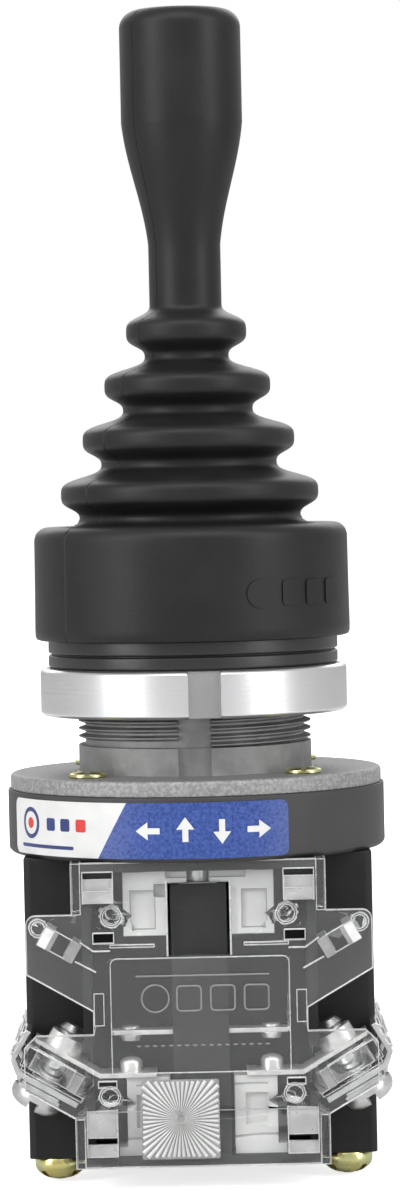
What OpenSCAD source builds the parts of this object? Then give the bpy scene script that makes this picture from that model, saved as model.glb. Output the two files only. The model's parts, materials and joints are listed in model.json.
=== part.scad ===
/* [Panel seat] */
// Thread major diameter of the collar
thread_d = 30; // [28.5:0.1:34]
// Diameter of the thread's core under the nut
thread_core_d = 28.2; // [27.6:0.1:28.4]
// Height of the plain land above the disc
land_h = 3.5; // [2:0.1:5]
// Height of the collar above the disc
collar_h = 20.5; // [19.5:0.1:22]
// Bore of the collar
collar_bore_d = 25.6; // [25.2:0.1:26]
// Width of the keyway down the front of the collar
keyway_w = 4.3; // [2:0.1:6]
// Depth of the keyway
keyway_depth = 0.85; // [0.3:0.05:0.9]
// Diameter of the collar's foot, under the disc
foot_d = 34.8; // [32:0.1:35]
// Thickness of the collar's foot
foot_h = 1.6; // [1.2:0.1:2]
// How far the metal disc's edge stands inside the base ring
disc_inset = 0.35; // [0.1:0.05:0.6]
// How far the collar's shoulder in the disc stands out from the thread
shoulder = 0.4; // [0.2:0.1:1]
// Thickness of the metal disc
disc_h = 2; // [1.5:0.1:3]

/* [Base ring] */
// Outer diameter of the black base ring
ring_d = 48.5; // [48:0.1:52]
// Height of the base ring
ring_h = 8.1; // [7.9:0.1:9]
// Wall of the base ring
ring_wall = 1.95; // [1.2:0.05:2]
// Thickness of the web that carries the collar
web_t = 0.9; // [0.6:0.05:1]
// Distance of the disc screws from the middle, across
disc_screw_x = 13.6; // [13:0.1:14.5]
// Distance of the disc screws from the middle, front to back
disc_screw_y = 13; // [12.9:0.1:14]
// Head diameter of the disc screws
disc_screw_head_d = 4.6; // [3.5:0.1:4.6]
// Shank diameter of the disc screws
disc_screw_d = 2.5; // [2:0.1:2.6]

/* [Ring nut] */
// Outer diameter of the ring nut
nut_d = 39.5; // [37:0.1:42]
// Height of the ring nut
nut_h = 6.05; // [4:0.05:7]
// Height of the nut's top above the disc, under the bezel
nut_top = 13.4; // [13.2:0.1:14]
// Radial clearance of the nut on the thread's core
nut_gap = 0.08; // [0.02:0.01:0.1]
// Chamfer on the nut's edges
nut_chamfer = 0.4; // [0.2:0.1:0.8]
// Width of the three spanner notches
notch_w = 4.1; // [2:0.1:6]
// Depth of the spanner notches
notch_depth = 1.7; // [0.8:0.1:3]
// Turn of the front notch from straight ahead, in degrees
notch_turn = 4; // [-30:1:30]

/* [Bezel and boot] */
// Outer diameter of the bezel ring
bezel_d = 37.3; // [36.5:0.1:39]
// Height of the bezel ring's visible band
bezel_h = 3.6; // [3:0.1:5]
// How far the bezel's plug inside the boot stands in from the band
plug_inset = 1; // [0.7:0.1:1.6]
// Height of the plug above the bezel band
plug_h = 5.4; // [5:0.1:8]
// Width of the groove round the bezel band
bezel_groove = 0.45; // [0.2:0.05:1]
// Wall of the boot's skirt
skirt_wall = 2.5; // [2.1:0.1:4]
// Height of the boot's skirt
skirt_h = 14.5; // [12:0.1:18]
// Thickness of the skirt's top
skirt_top_t = 1.5; // [1:0.1:2.5]
// Radius of the skirt's top edge
skirt_edge_r = 1.8; // [0.5:0.1:2.4]
// Rubber thickness of the bellows
bellows_wall = 1.1; // [0.7:0.1:1.5]
// Number of convolutions
folds = 4; // [2:1:5]
// Height of one convolution
fold_pitch = 6.9; // [6:0.1:8]
// Rise from a groove to the crest above it
crest_lift = 3.1; // [2.6:0.1:3.6]
// Fall from the last crest to the neck
last_fall = 3.5; // [3:0.1:4.5]
// Radius of the lowest convolution's crest
crest_r = 16.6; // [15:0.1:17]
// Radius of the lowest groove
valley_r = 14.26; // [13:0.05:14.5]
// Loss of radius from one convolution to the next
fold_step = 2.95; // [2:0.05:3]

/* [Grip] */
// Diameter of the grip's neck
neck_d = 9.3; // [8:0.1:12]
// Length of the straight neck
neck_h = 7.7; // [2:0.1:15]
// Length of the taper from neck to grip
taper_h = 15.7; // [8:0.1:25]
// Diameter of the grip
grip_d = 15.6; // [13:0.1:20]
// Length of the grip's straight part
grip_h = 14.4; // [8:0.1:30]
// Radius of the grip's top edge
grip_edge_r = 2.3; // [0.5:0.1:5]

/* [Lever and gimbal] */
// Height of the tilt axes above the disc
pivot_z = 13; // [12.8:0.1:13.3]
// Largest tilt each way, in degrees
tilt = 12; // [8:0.5:12]
// Diameter of the steel lever
shaft_d = 5; // [4:0.1:5.5]
// Depth of the lever in the grip
shaft_in_grip = 30; // [20:1:33]
// Diameter of the lever's hub
hub_d = 10; // [8:0.1:11]
// Height of the hub above the tilt axes
hub_up = 4; // [2:0.1:4]
// Sideways room between the gimbal ring and the collar's bore
gimbal_clear = 1.2; // [1.2:0.1:1.8]
// Radial thickness of the gimbal ring
gimbal_wall = 3.2; // [2:0.1:3.4]
// Height of the gimbal ring
gimbal_h = 4; // [3.4:0.1:4]
// Diameter of the pivot pins
pivot_d = 2.4; // [1.5:0.1:2.6]
// Radial clearance of the pivot pins in the gimbal
pivot_gap = 0.05; // [0.02:0.01:0.1]
// Distance from the tilt axes to the actuator plate's underside
plate_drop = 6; // [6:0.05:6.4]
// Thickness of the actuator plate
plate_t = 1.2; // [0.8:0.1:1.2]
// Diameter of the actuator plate
plate_d = 22.4; // [22:0.1:22.6]
// Side of the square opening that limits the lever
gate_w = 9.2; // [8.8:0.1:12]
// Thickness of the gate plate
gate_t = 1.6; // [1:0.1:1.7]

/* [Pushers] */
// Distance of the push pins from the lever's axis
push_r = 9.2; // [8.9:0.05:9.2]
// Diameter of the push pins
push_d = 2.7; // [2:0.1:3]
// Play between push pin and actuator plate at rest
push_play = 0.38; // [0.38:0.01:0.6]
// Radial clearance of the push pins in their guide
push_gap = 0.05; // [0.02:0.01:0.1]
// Thickness of the pushers' arms
arm_t = 1.2; // [0.8:0.1:1.2]
// Height of the pin guide above the disc's top face
guide_h = 1; // [0:0.1:2]

/* [Contact blocks] */
// Width of a contact block
block_w = 44; // [43:0.1:46]
// Depth of one contact block, front to back
block_d = 22; // [21.8:0.1:23]
// Height of a contact block
block_h = 38; // [37.5:0.1:40]
// Thickness of the block's middle wall
core_t = 5.6; // [5.4:0.1:5.8]
// Width of a contact cell outside
cell_w = 29.2; // [29:0.1:30]
// Wall of a contact cell
cell_wall = 1.2; // [0.8:0.1:1.4]
// Radius of the block's upright edges
block_edge_r = 1; // [0.3:0.1:2]
// Thickness of the covers
cover_t = 1; // [0.6:0.1:1.2]
// Height of the raised panel on the outer covers
panel_t = 0.4; // [0.2:0.1:0.8]
// Width of the rib down the middle of a cell
rib_w = 7; // [6.8:0.1:7.4]
// Wall of the rib
rib_wall = 0.8; // [0.6:0.1:0.9]
// Half width of the outer covers' raised panel
panel_half = 11.1; // [10.5:0.1:11.4]
// Drop from the block's top to the wings of the covers
wing_drop = 6.4; // [6:0.1:6.8]
// Height of the upper wings at their outer edge
wing_h = 7.3; // [6:0.1:8]
// Drop from the block's top to the lower wings of the covers
low_wing_drop = 21.4; // [21:0.1:22]
// Height of the lower wings at their outer edge
low_wing_h = 6.8; // [6:0.1:8]
// Drop from the block's top to the raised panel
panel_drop = 11.9; // [11:0.1:13]

/* [Contacts] */
// Width of a carrier across the cell
carrier_w = 18.8; // [17:0.1:19]
// Thickness of a carrier, front to back
carrier_t = 4.4; // [4:0.1:4.6]
// Height of the carrier's cheeks
cheek_h = 6.5; // [5:0.1:7.1]
// Drop from the block's top to the carriers' notches
notch_up_drop = 6.8; // [6.4:0.1:7.2]
// Drop from the block's top to the fixed guides' notches
notch_down_drop = 30.5; // [29.8:0.1:31]
// Half height of a notch
notch_half = 0.9; // [0.7:0.1:1.1]
// Depth of a notch
side_notch = 1.1; // [0.8:0.1:1.3]
// Loop diameter of the corner springs
loop_d = 1.6; // [1.4:0.1:2]
// Drop from the block's top to the moving bridges
bridge_drop = 21.8; // [21.5:0.1:22]
// Drop from the block's top to the terminal strips
strip_drop = 26.4; // [26.3:0.1:26.8]
// Length of the moving bridge past the middle of each contact
bridge_over = 2.1; // [1.5:0.1:3]
// Depth of the moving bridge, front to back
bridge_d = 2.6; // [2:0.1:3]
// Thickness of the moving bridge
bridge_t = 0.6; // [0.4:0.05:0.9]
// Distance from the carriers' sides in to the middle of the contacts
contact_inset = 0.6; // [0:0.1:1.2]
// Diameter of a contact
contact_d = 2.8; // [2:0.1:3]
// Height of a moving contact under the bridge
contact_h = 0.8; // [0.5:0.1:1]
// Gap between open contacts
contact_gap = 2.02; // [2:0.01:2.4]
// Thickness of the terminal strips
strip_t = 0.6; // [0.4:0.1:1]
// Diameter of the return springs
return_spring_d = 3.4; // [3:0.1:3.8]
// Wire of the return springs
return_wire = 0.45; // [0.3:0.05:0.6]
// Length of the carrier's spine below the bridge
spine_h = 6; // [5:0.1:7]

/* [Terminals] */
// Slope of the terminals, in degrees
slope = 30; // [25:1:32]
// Distance of a terminal's middle from the axis
terminal_x = 17.4; // [17:0.1:18]
// Head diameter of the terminal screws
terminal_head_d = 6.8; // [5:0.1:6.8]
// Shank diameter of the terminal screws
terminal_screw_d = 3.5; // [2.5:0.1:4]
// Distance from terminal strip to screw head
terminal_reach = 6.2; // [6:0.1:7]
// Length of the screw behind the strip
terminal_tail = 3.4; // [1:0.1:4]
// Thickness of the saddle clamps
saddle_t = 0.8; // [0.6:0.1:0.8]
// Height of the empty terminals above the used ones
terminal_step = 14.5; // [14:0.1:15]
// Diameter of the threaded boss on a terminal strip
boss_d = 4.8; // [4.2:0.1:5]
// Height of the threaded boss on a terminal strip
boss_h = 2; // [1:0.1:2.4]

/* [Long screws] */
// Distance of the long screws from the middle, across
long_screw_x = 18.25; // [18:0.05:18.5]
// Diameter of the long screws
long_screw_d = 3.9; // [3:0.1:4]
// Head diameter of the long screws
long_head_d = 6.3; // [5:0.1:7]
// Head height of the long screws
long_head_h = 2.9; // [1.5:0.1:4]

/* [Hidden] */
$fn = 96;
eps = 0.01;
through = 60;

// heights, from the disc's top face
disc_low = -disc_h;
foot_low = disc_low - foot_h;
web_low = foot_low - web_t;
block_top = disc_low - ring_h;
block_low = block_top - block_h;
bezel_top = nut_top + bezel_h;
plug_top = bezel_top + plug_h;
skirt_top = bezel_top + skirt_h;
first_valley_z = skirt_top + 1;
bellows_top = first_valley_z + (folds - 1) * fold_pitch + crest_lift + last_fall;
taper_z = bellows_top + neck_h;
grip_z = taper_z + taper_h;
grip_top = grip_z + grip_h;
plate_low = pivot_z - plate_drop;
plate_top = plate_low + plate_t;
gate_low = collar_h - gate_t;

// the sideways room inside the parts of the collar
bore_r = collar_bore_d / 2;
gimbal_d = collar_bore_d - 2 * gimbal_clear;
core_r = thread_core_d / 2;
seat_gap = 0.05;
shoulder_r = thread_d / 2 + shoulder;
pin_end = core_r - 0.2;
guide_flange_d = collar_bore_d + 1.5;
gate_d = collar_bore_d + 1.1;

// the bezel's plug and the boot's skirt round it
plug_d = bezel_d - 2 * plug_inset;
skirt_in_r = plug_d / 2 + seat_gap;
skirt_r = skirt_in_r + skirt_wall;
disc_d = ring_d - 2 * disc_inset;

// pushers: the travel that follows the plate's edge at full tilt, and a little for the slide along it
travel = push_r * tan(tilt) * 1.0125;
push_tip_z = plate_low - push_play;
arm_low = block_top + travel + 0.12;
arm_top = arm_low + arm_t;

// depth of the cells: the middle plane of each, and its walls
core_y = block_d / 2;
cell_depth = (block_d - core_t) / 2 - cover_t;
cell_mid = 0.2;
slab_y = cell_depth / 2 + cell_mid;
face_y = -(cell_depth / 2 - cell_mid);
cell_out_y = block_d - cover_t + face_y;
cell_in_y = cover_t - face_y;
cell_half = cell_w / 2;

// contacts, from the top of the block down
carrier_top = block_top - 0.4;
carrier_bar_h = 2.4;
bar_low = carrier_top - carrier_bar_h;
cheek_low = bar_low - cheek_h;
cheek_in = rib_w / 2 + 0.5;
bridge_low = block_top - bridge_drop;
contact_low = bridge_low - contact_h;
fixed_top = contact_low - contact_gap;
strip_z = block_top - strip_drop;
strip_low = strip_z - strip_t;
spine_low = bridge_low - spine_h;
guide_low = block_low + cell_wall;
terminal_z = strip_z + (terminal_x - cell_half + 2) * tan(slope);
empty_terminal_z = terminal_z + terminal_step;
notch_up_z = block_top - notch_up_drop;
notch_down_z = block_top - notch_down_drop;
spring_x = carrier_w / 2 + 1.5;
contact_x = carrier_w / 2 - contact_inset;
bridge_half = contact_x + bridge_over;

// the terminals' slanted bars in the cover wings
bar_near = 1.2;
bar_t = 2.5;
bar_wall = 1.2;
bar_half = 3.9;
flange_t = 0.5;
saddle_near = bar_near + bar_t + flange_t + 0.2;

// the outline of the covers: columns, an upper wing, and a lower wing over the terminals
column = cell_half + 1.2;
wing = block_w / 2 - 0.5;
low_wing = wing + 0.5;
wing_z = block_top - wing_drop;
wing_low_z = wing_z - wing_h;
low_wing_z = block_top - low_wing_drop;
low_wing_low_z = low_wing_z - low_wing_h;
panel_z = block_top - panel_drop;

// the latch windows in the covers, and the slots left open beside their tongues
latch_in = cell_half - 4;
latch_w = 3.8;
latch_h = 3.9;
latch_z = block_top - 1.1;
low_latch_h = 5.6;
low_latch_z = block_low + 1.4;
latch_slot = 0.95;
latch_step = 2.4;

// ---- shared shapes ----

module at_corners(x, y) {
    for (side = [-1, 1], end = [-1, 1]) translate([side * x, end * y, 0]) children();
}

module rod(d, low, high) {
    translate([0, 0, low]) cylinder(d = d, h = high - low);
}

module tube(d_out, d_in, low, high) {
    difference() {
        rod(d_out, low, high);
        rod(d_in, low - 1, high + 1);
    }
}

// a box given by its two corners
module slab(from, to) {
    translate(from) cube(to - from);
}

// the same box on both sides of the middle plane
module slab_pair(from, to) {
    for (side = [0, 1]) mirror([side, 0, 0]) slab(from, to);
}

// a front-view outline made a plate between two depths
module plate_xz(y_from, y_to) {
    translate([0, y_to, 0]) rotate([90, 0, 0]) linear_extrude(y_to - y_from) children();
}

// the four contact cells: in each the outside lies towards -y
module in_cell(name) {
    if (name == "front") translate([0, -cell_out_y, 0]) children();
    if (name == "left") translate([0, -cell_in_y, 0]) rotate([0, 0, 180]) children();
    if (name == "right") translate([0, cell_in_y, 0]) children();
    if (name == "rear") translate([0, cell_out_y, 0]) rotate([0, 0, 180]) children();
}

module in_all_cells() {
    for (name = ["front", "left", "right", "rear"]) in_cell(name) children();
}

// ---- panel seat ----

module threaded_collar() {
    seat_r = foot_d / 2;
    land_r = thread_d / 2;
    color("dimgray") difference() {
        rotate_extrude() polygon([
            [bore_r, foot_low], [seat_r, foot_low], [seat_r, disc_low], [shoulder_r, disc_low],
            [shoulder_r, 0], [land_r, 0], [land_r, land_h], [core_r, land_h],
            [core_r, collar_h], [bore_r, collar_h]
        ]);
        slab([-keyway_w / 2, -thread_d, 0], [keyway_w / 2, keyway_depth - land_r, nut_top]);
        rod(guide_flange_d + 2 * seat_gap, foot_low - 1, disc_low - 0.2);
        rod(gate_d + 2 * seat_gap, gate_low, collar_h + 1);
        translate([0, 0, pivot_z]) rotate([0, 90, 0])
            cylinder(d = pivot_d, h = 2 * pin_end, center = true);
    }
}

module flange_disc() {
    edge = 0.3;
    color("gray") difference() {
        rotate_extrude() polygon([
            [shoulder_r, disc_low], [disc_d / 2, disc_low], [disc_d / 2, -edge],
            [disc_d / 2 - edge, 0], [shoulder_r, 0]
        ]);
        at_corners(disc_screw_x, disc_screw_y) rod(disc_screw_d, disc_low - 1, 1);
    }
}

module disc_screws() {
    head_h = 1;
    color("gold") at_corners(disc_screw_x, disc_screw_y) difference() {
        union() {
            rod(disc_screw_d, web_low - 2.4, eps);
            cylinder(d1 = disc_screw_head_d, d2 = disc_screw_head_d - 1, h = head_h);
        }
        slab([-disc_screw_head_d, -0.3, 0.5], [disc_screw_head_d, 0.3, 2]);
    }
}

module base_ring() {
    r = ring_d / 2;
    inner = r - ring_wall;
    hole = bore_r - 0.4;
    seat_r = foot_d / 2 + seat_gap;
    edge = 0.5;
    socket_d = long_screw_d + 1.9;
    color([0.25, 0.25, 0.26]) difference() {
        union() {
            rotate_extrude() polygon([
                [hole, web_low], [inner, web_low], [inner, block_top], [r - edge, block_top],
                [r, block_top + edge], [r, disc_low], [seat_r, disc_low], [seat_r, foot_low],
                [hole, foot_low]
            ]);
            intersection() {
                rod(ring_d - 1, block_top, web_low + eps);
                at_corners(long_screw_x, core_y) rod(socket_d, block_top, web_low + eps);
            }
            at_corners(disc_screw_x, disc_screw_y) rod(disc_screw_d + 2, web_low - 3, web_low + eps);
        }
        at_corners(long_screw_x, core_y) rod(long_screw_d, block_top - 1, web_low - 0.3);
        at_corners(disc_screw_x, disc_screw_y) rod(disc_screw_d, web_low - 4, 1);
    }
}

// ---- ring nut, bezel and rubber boot ----

module ring_nut() {
    r = nut_d / 2;
    bore = core_r + nut_gap;
    low = nut_top - nut_h;
    c = nut_chamfer;
    color("silver") difference() {
        rotate_extrude() polygon([
            [bore, low], [r - c, low], [r, low + c], [r, nut_top - c], [r - c, nut_top], [bore, nut_top]
        ]);
        for (turn = [0:120:240]) rotate([0, 0, notch_turn + turn])
            slab([-notch_w / 2, -r - 1, low - 1], [notch_w / 2, notch_depth - r, nut_top + 1]);
    }
}

module bezel_ring() {
    r = bezel_d / 2;
    plug_r = plug_d / 2;
    lip_r = 11;
    edge = 0.8;
    groove_z = nut_top + bezel_h / 2;
    color([0.2, 0.2, 0.2]) rotate_extrude() polygon([
        [core_r, nut_top], [r - 0.3, nut_top], [r, nut_top + 0.3],
        [r, groove_z - bezel_groove / 2], [r - bezel_groove, groove_z],
        [r, groove_z + bezel_groove / 2], [r, bezel_top],
        [plug_r, bezel_top], [plug_r, plug_top - edge], [plug_r - edge, plug_top],
        [lip_r, plug_top], [lip_r, collar_h], [core_r, collar_h]
    ]);
}

// an arc of points round a centre, from one angle to another
function arc(cx, cz, r, a0, a1, steps = 8) =
    [for (i = [0:steps]) let (a = a0 + (a1 - a0) * i / steps) [cx + r * cos(a), cz + r * sin(a)]];

module boot_skirt() {
    r = skirt_r;
    neck = valley_r;
    e = skirt_edge_r;
    inner = skirt_in_r;
    ceiling = skirt_top - skirt_top_t;
    color([0.17, 0.17, 0.18]) rotate_extrude() polygon(concat(
        [[inner, bezel_top], [r - 0.3, bezel_top], [r, bezel_top + 0.6]],
        arc(r - e, skirt_top - e, e, 0, 90),
        [[neck + 0.6, skirt_top], [neck + 0.1, skirt_top + 0.3], [neck, first_valley_z]],
        [[neck - bellows_wall, first_valley_z], [neck - bellows_wall, ceiling], [inner, ceiling]]
    ));
}

// the wave of the bellows: radius at each half fold, eased from crest to valley
function crest_at(i) = crest_r - i * fold_step;
function valley_at(i) = valley_r - i * fold_step;
function eased(a, b, t) = a + (b - a) * (1 - cos(180 * t)) / 2;
function rise_points(i, steps = 8) = [for (k = [0:steps - 1]) let (t = k / steps)
    [eased(valley_at(i), crest_at(i), t), first_valley_z + i * fold_pitch + crest_lift * t]];
function fall_points(i, steps = 8) =
    let (last = i == folds - 1, to = last ? neck_d / 2 : valley_at(i + 1),
         drop = last ? last_fall : fold_pitch - crest_lift)
    [for (k = [0:steps - 1]) let (t = k / steps)
        [eased(crest_at(i), to, t), first_valley_z + i * fold_pitch + crest_lift + drop * t]];

module boot_bellows() {
    skin = concat([for (i = [0:folds - 1]) each concat(rise_points(i), fall_points(i))],
                  [[neck_d / 2, bellows_top]]);
    count = len(skin);
    lining = [for (i = [count - 1:-1:0]) [skin[i][0] - bellows_wall, skin[i][1]]];
    color([0.17, 0.17, 0.18]) rotate_extrude() polygon(concat(skin, lining));
}

module grip() {
    r = grip_d / 2;
    n = neck_d / 2;
    e = grip_edge_r;
    shaft_end = grip_top - grip_edge_r - 5;
    taper = [for (i = [0:12]) let (t = i / 12) [eased(n, r, t) * 0.5 + (n + (r - n) * t) * 0.5,
                                                taper_z + taper_h * t]];
    color([0.17, 0.17, 0.18]) rotate_extrude() polygon(concat(
        [[shaft_d / 2, bellows_top], [n, bellows_top]], taper,
        arc(r - e, grip_top - e, e, 0, 90),
        [[0, grip_top], [0, bellows_top + shaft_in_grip], [shaft_d / 2, bellows_top + shaft_in_grip]]
    ));
}

// ---- lever and gimbal ----

module lever_shaft() {
    groove_d = shaft_d - 1;
    low = plate_low - 1.3;
    color("silver") difference() {
        rod(shaft_d, low, bellows_top + shaft_in_grip);
        translate([0, 0, pivot_z]) rotate([90, 0, 0]) cylinder(d = pivot_d, h = through, center = true);
        tube(shaft_d + 2, groove_d, plate_low - 0.8, plate_low);
    }
}

module lever_hub() {
    color("gray") difference() {
        tube(hub_d, shaft_d, plate_top, pivot_z + hub_up);
        translate([0, 0, pivot_z]) rotate([90, 0, 0]) cylinder(d = pivot_d, h = through, center = true);
    }
}

module hub_pin() {
    color("silver") translate([0, 0, pivot_z]) rotate([90, 0, 0])
        cylinder(d = pivot_d, h = gimbal_d - 0.8, center = true);
}

module actuator_plate() {
    color("lightgray") tube(plate_d, shaft_d, plate_low, plate_top);
}

module plate_clip() {
    color("black") difference() {
        tube(shaft_d + 3, shaft_d - 1, plate_low - 0.8, plate_low);
        slab([-1, -shaft_d, plate_low - 2], [1, 0, plate_low + 1]);
    }
}

module gimbal_ring() {
    color("gray") translate([0, 0, pivot_z]) difference() {
        tube(gimbal_d, gimbal_d - 2 * gimbal_wall, -gimbal_h / 2, gimbal_h / 2);
        for (turn = [0, 90]) rotate([90, 0, turn])
            cylinder(d = pivot_d + 2 * pivot_gap, h = through, center = true);
    }
}

module gimbal_pins() {
    inner = gimbal_d / 2 - gimbal_wall + 0.5;
    color("silver") for (side = [0, 1]) mirror([side, 0, 0])
        translate([inner, 0, pivot_z]) rotate([0, 90, 0]) cylinder(d = pivot_d, h = pin_end - inner);
}

module gate_plate() {
    color("dimgray") difference() {
        rod(gate_d, gate_low, collar_h);
        slab([-gate_w / 2, -gate_w / 2, gate_low - 1], [gate_w / 2, gate_w / 2, collar_h + 1]);
    }
}

// ---- pushers ----

module at_push_pins() {
    for (turn = [0:90:270]) rotate([0, 0, turn]) translate([0, -push_r, 0]) children();
}

module pusher_guide() {
    color("whitesmoke") difference() {
        union() {
            rod(guide_flange_d, foot_low, disc_low - 0.2);
            rod(collar_bore_d - 0.1, foot_low, guide_h);
        }
        at_push_pins() rod(push_d + 2 * push_gap, foot_low - 1, guide_h + 1);
    }
}

// a push pin at one place, joined by an arm to the rod that stands on a carrier
module pusher(pin_x, pin_y, rod_x, rod_y) {
    reach = norm([rod_x - pin_x, rod_y - pin_y]);
    arm_half = push_d / 2 + 0.2;
    ball_z = push_tip_z - push_d / 2;
    color("lightgray") {
        translate([pin_x, pin_y, 0]) {
            rod(push_d, arm_low + 0.3, ball_z);
            translate([0, 0, ball_z]) sphere(d = push_d);
        }
        translate([pin_x, pin_y, 0]) rotate([0, 0, atan2(rod_y - pin_y, rod_x - pin_x)])
            slab([-arm_half, -arm_half, arm_low], [reach + arm_half, arm_half, arm_top]);
        translate([rod_x, rod_y, 0]) rod(push_d, bar_low, arm_top - 0.3);
    }
}

module pusher_front() { pusher(0, -push_r, 0, -cell_out_y); }
module pusher_rear() { pusher(0, push_r, 0, cell_out_y); }
module pusher_left() { pusher(-push_r, 0, 0, -cell_in_y); }
module pusher_right() { pusher(push_r, 0, 0, cell_in_y); }

// ---- moving parts of a contact cell ----

// the notch that a corner spring's legs rest in, cut from one side at a height
module spring_notch(z) {
    half = carrier_w / 2;
    plate_xz(-through, through)
        polygon([[half + eps, z + notch_half], [half - side_notch, z], [half + eps, z - notch_half]]);
}

// white carrier: a bar across the top, two cheeks with a notch, and a spine that runs in the rib
module carrier() {
    half = carrier_w / 2;
    y = carrier_t / 2;
    spine = rib_w / 2 - rib_wall - 0.3;
    window = bridge_d / 2 + 0.1;
    groove_z = carrier_top - 0.95;
    recess = 0.5;
    color("white") difference() {
        union() {
            slab([-half, -y, bar_low], [half, y, carrier_top]);
            slab_pair([cheek_in, -y, cheek_low], [half, y, bar_low + eps]);
            slab([-spine, -y + 0.2, spine_low], [spine, y - 0.2, bar_low + eps]);
        }
        rod(push_d + 0.1, bar_low, carrier_top + 1);
        slab([-push_d / 2 - 0.05, -y - 1, bar_low], [push_d / 2 + 0.05, 0, carrier_top + 1]);
        slab([-spine - 1, -window, bridge_low], [spine + 1, window, bridge_low + 3]);
        slab_pair([cheek_in + 1.4, -y - 1, cheek_low + 0.8], [half - 0.9, recess - y, bar_low - 0.9]);
        slab_pair([half - 2.7, -y - 1, groove_z], [half + 1, 0.25 - y, groove_z + 0.25]);
        slab([-cheek_in, -y - 1, groove_z - 0.8], [cheek_in + 1.9, recess - y, groove_z]);
        slab([-cheek_in - 1.5, -y - 1, bar_low - 1.8], [-cheek_in + 1, 1 - y, bar_low - 0.1]);
        for (side = [0, 1]) mirror([side, 0, 0]) spring_notch(notch_up_z);
    }
}

module bridge() {
    y = bridge_d / 2;
    color("silver") difference() {
        slab([-bridge_half, -y, bridge_low], [bridge_half, y, bridge_low + bridge_t]);
        for (side = [-1, 1]) translate([side * contact_x, 0, 0]) rod(contact_d / 2, bridge_low - 1, 0);
    }
}

// domed contacts riveted through the ends of the bridge
module moving_contacts() {
    top = bridge_low + bridge_t;
    color("silver") for (side = [-1, 1]) translate([side * contact_x, 0, 0]) {
        translate([0, 0, contact_low]) cylinder(d1 = contact_d - 0.6, d2 = contact_d, h = contact_h);
        rod(contact_d / 2, bridge_low, top);
        rod(contact_d - 0.6, top, top + 0.4);
    }
}

// a sleeve with one round ridge for each coil stands for a small spring
module ring_spring(d, wire, low, high, coils) {
    pitch = (high - low) / coils;
    ridge = [for (i = [0:coils - 1], a = [-90:45:45])
        [(d - wire) / 2 + wire / 2 * cos(a), low + (i + 0.5) * pitch + pitch / 2 * sin(a)]];
    inner = d / 2 - wire;
    color("silver") rotate_extrude($fn = 48)
        polygon(concat([[inner, low]], ridge, [[(d - wire) / 2, high], [inner, high]]));
}

module contact_spring() {
    ring_spring(2.4, 0.35, bridge_low + bridge_t, bridge_low + 3, 4);
}

module carrier_front() { in_cell("front") carrier(); }
module carrier_rear() { in_cell("rear") carrier(); }
module carrier_left() { in_cell("left") carrier(); }
module carrier_right() { in_cell("right") carrier(); }
module bridge_front() { in_cell("front") bridge(); }
module bridge_rear() { in_cell("rear") bridge(); }
module bridge_left() { in_cell("left") bridge(); }
module bridge_right() { in_cell("right") bridge(); }
module moving_contacts_front() { in_cell("front") moving_contacts(); }
module moving_contacts_rear() { in_cell("rear") moving_contacts(); }
module moving_contacts_left() { in_cell("left") moving_contacts(); }
module moving_contacts_right() { in_cell("right") moving_contacts(); }
module contact_spring_front() { in_cell("front") contact_spring(); }
module contact_spring_rear() { in_cell("rear") contact_spring(); }
module contact_spring_left() { in_cell("left") contact_spring(); }
module contact_spring_right() { in_cell("right") contact_spring(); }

module return_springs() {
    in_all_cells() ring_spring(return_spring_d, return_wire, guide_low, spine_low, 7);
}

// a loop of wire in each corner of a cell, with legs that reach into the notch
module corner_springs() {
    wire = 0.36;
    leg = spring_x - loop_d / 2 - carrier_w / 2 + side_notch / 2;
    color("silver") in_all_cells() for (side = [0, 1], z = [notch_up_z, notch_down_z])
        mirror([side, 0, 0]) translate([spring_x, 0, z]) {
            rotate([90, 0, 0]) rotate_extrude($fn = 48)
                translate([loop_d / 2, 0]) circle(d = wire, $fn = 16);
            for (y = [-1, 1]) translate([-loop_d / 2, y * 0.3, 0]) rotate([0, -90, 0])
                cylinder(d = wire, h = leg, $fn = 16);
        }
}

// ---- housings ----

// walls, rib, ledges and latches of one contact cell
module cell_walls() {
    inner = cell_half - cell_wall;
    rib = rib_w / 2;
    rib_top = bar_low - travel - 0.4;
    slot_half = carrier_w / 2 + 0.3;
    y = carrier_t / 2 + 0.2;
    front_y = face_y + 0.1;
    latch_reach = inner - 2.8;
    color([0.13, 0.13, 0.14]) {
        difference() {
            slab_pair([inner, face_y, terminal_z], [cell_half, slab_y + eps, block_top]);
            at_terminals(terminal_z) rod(boss_d + 0.4, -0.5, terminal_tail + 1);
        }
        slab_pair([inner, face_y, block_low], [cell_half, slab_y + eps, strip_low - 2]);
        slab([-cell_half, face_y, block_low], [cell_half, slab_y + eps, guide_low]);
        difference() {
            slab([-cell_half, face_y, block_top - cell_wall], [cell_half, slab_y + eps, block_top]);
            slab([-slot_half, -y, block_top - 2], [slot_half, y, block_top + 1]);
        }
        difference() {
            slab([-rib, front_y, guide_low - eps], [rib, slab_y + eps, rib_top]);
            slab([rib_wall - rib, front_y + rib_wall, guide_low], [rib - rib_wall, slab_y, rib_top + 1]);
            slab([-rib - 1, -bridge_d / 2 - 0.3, contact_low - travel - 0.6],
                 [rib + 1, slab_y, bridge_low + bridge_t + travel + 0.5]);
        }
        slab([-rib, front_y, rib_top - eps], [rib, front_y + rib_wall, bar_low - 0.1]);
        slab_pair([slot_half + 0.1, -carrier_t / 2, strip_low - cell_wall],
                  [inner + eps, slab_y + eps, strip_low]);
        slab_pair([latch_reach, face_y, block_top - 2.3], [inner + eps, slab_y + eps, block_top - 1.3]);
        slab_pair([latch_reach, face_y, block_low + 3.4], [inner + eps, slab_y + eps, block_low + 4.4]);
    }
}

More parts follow.
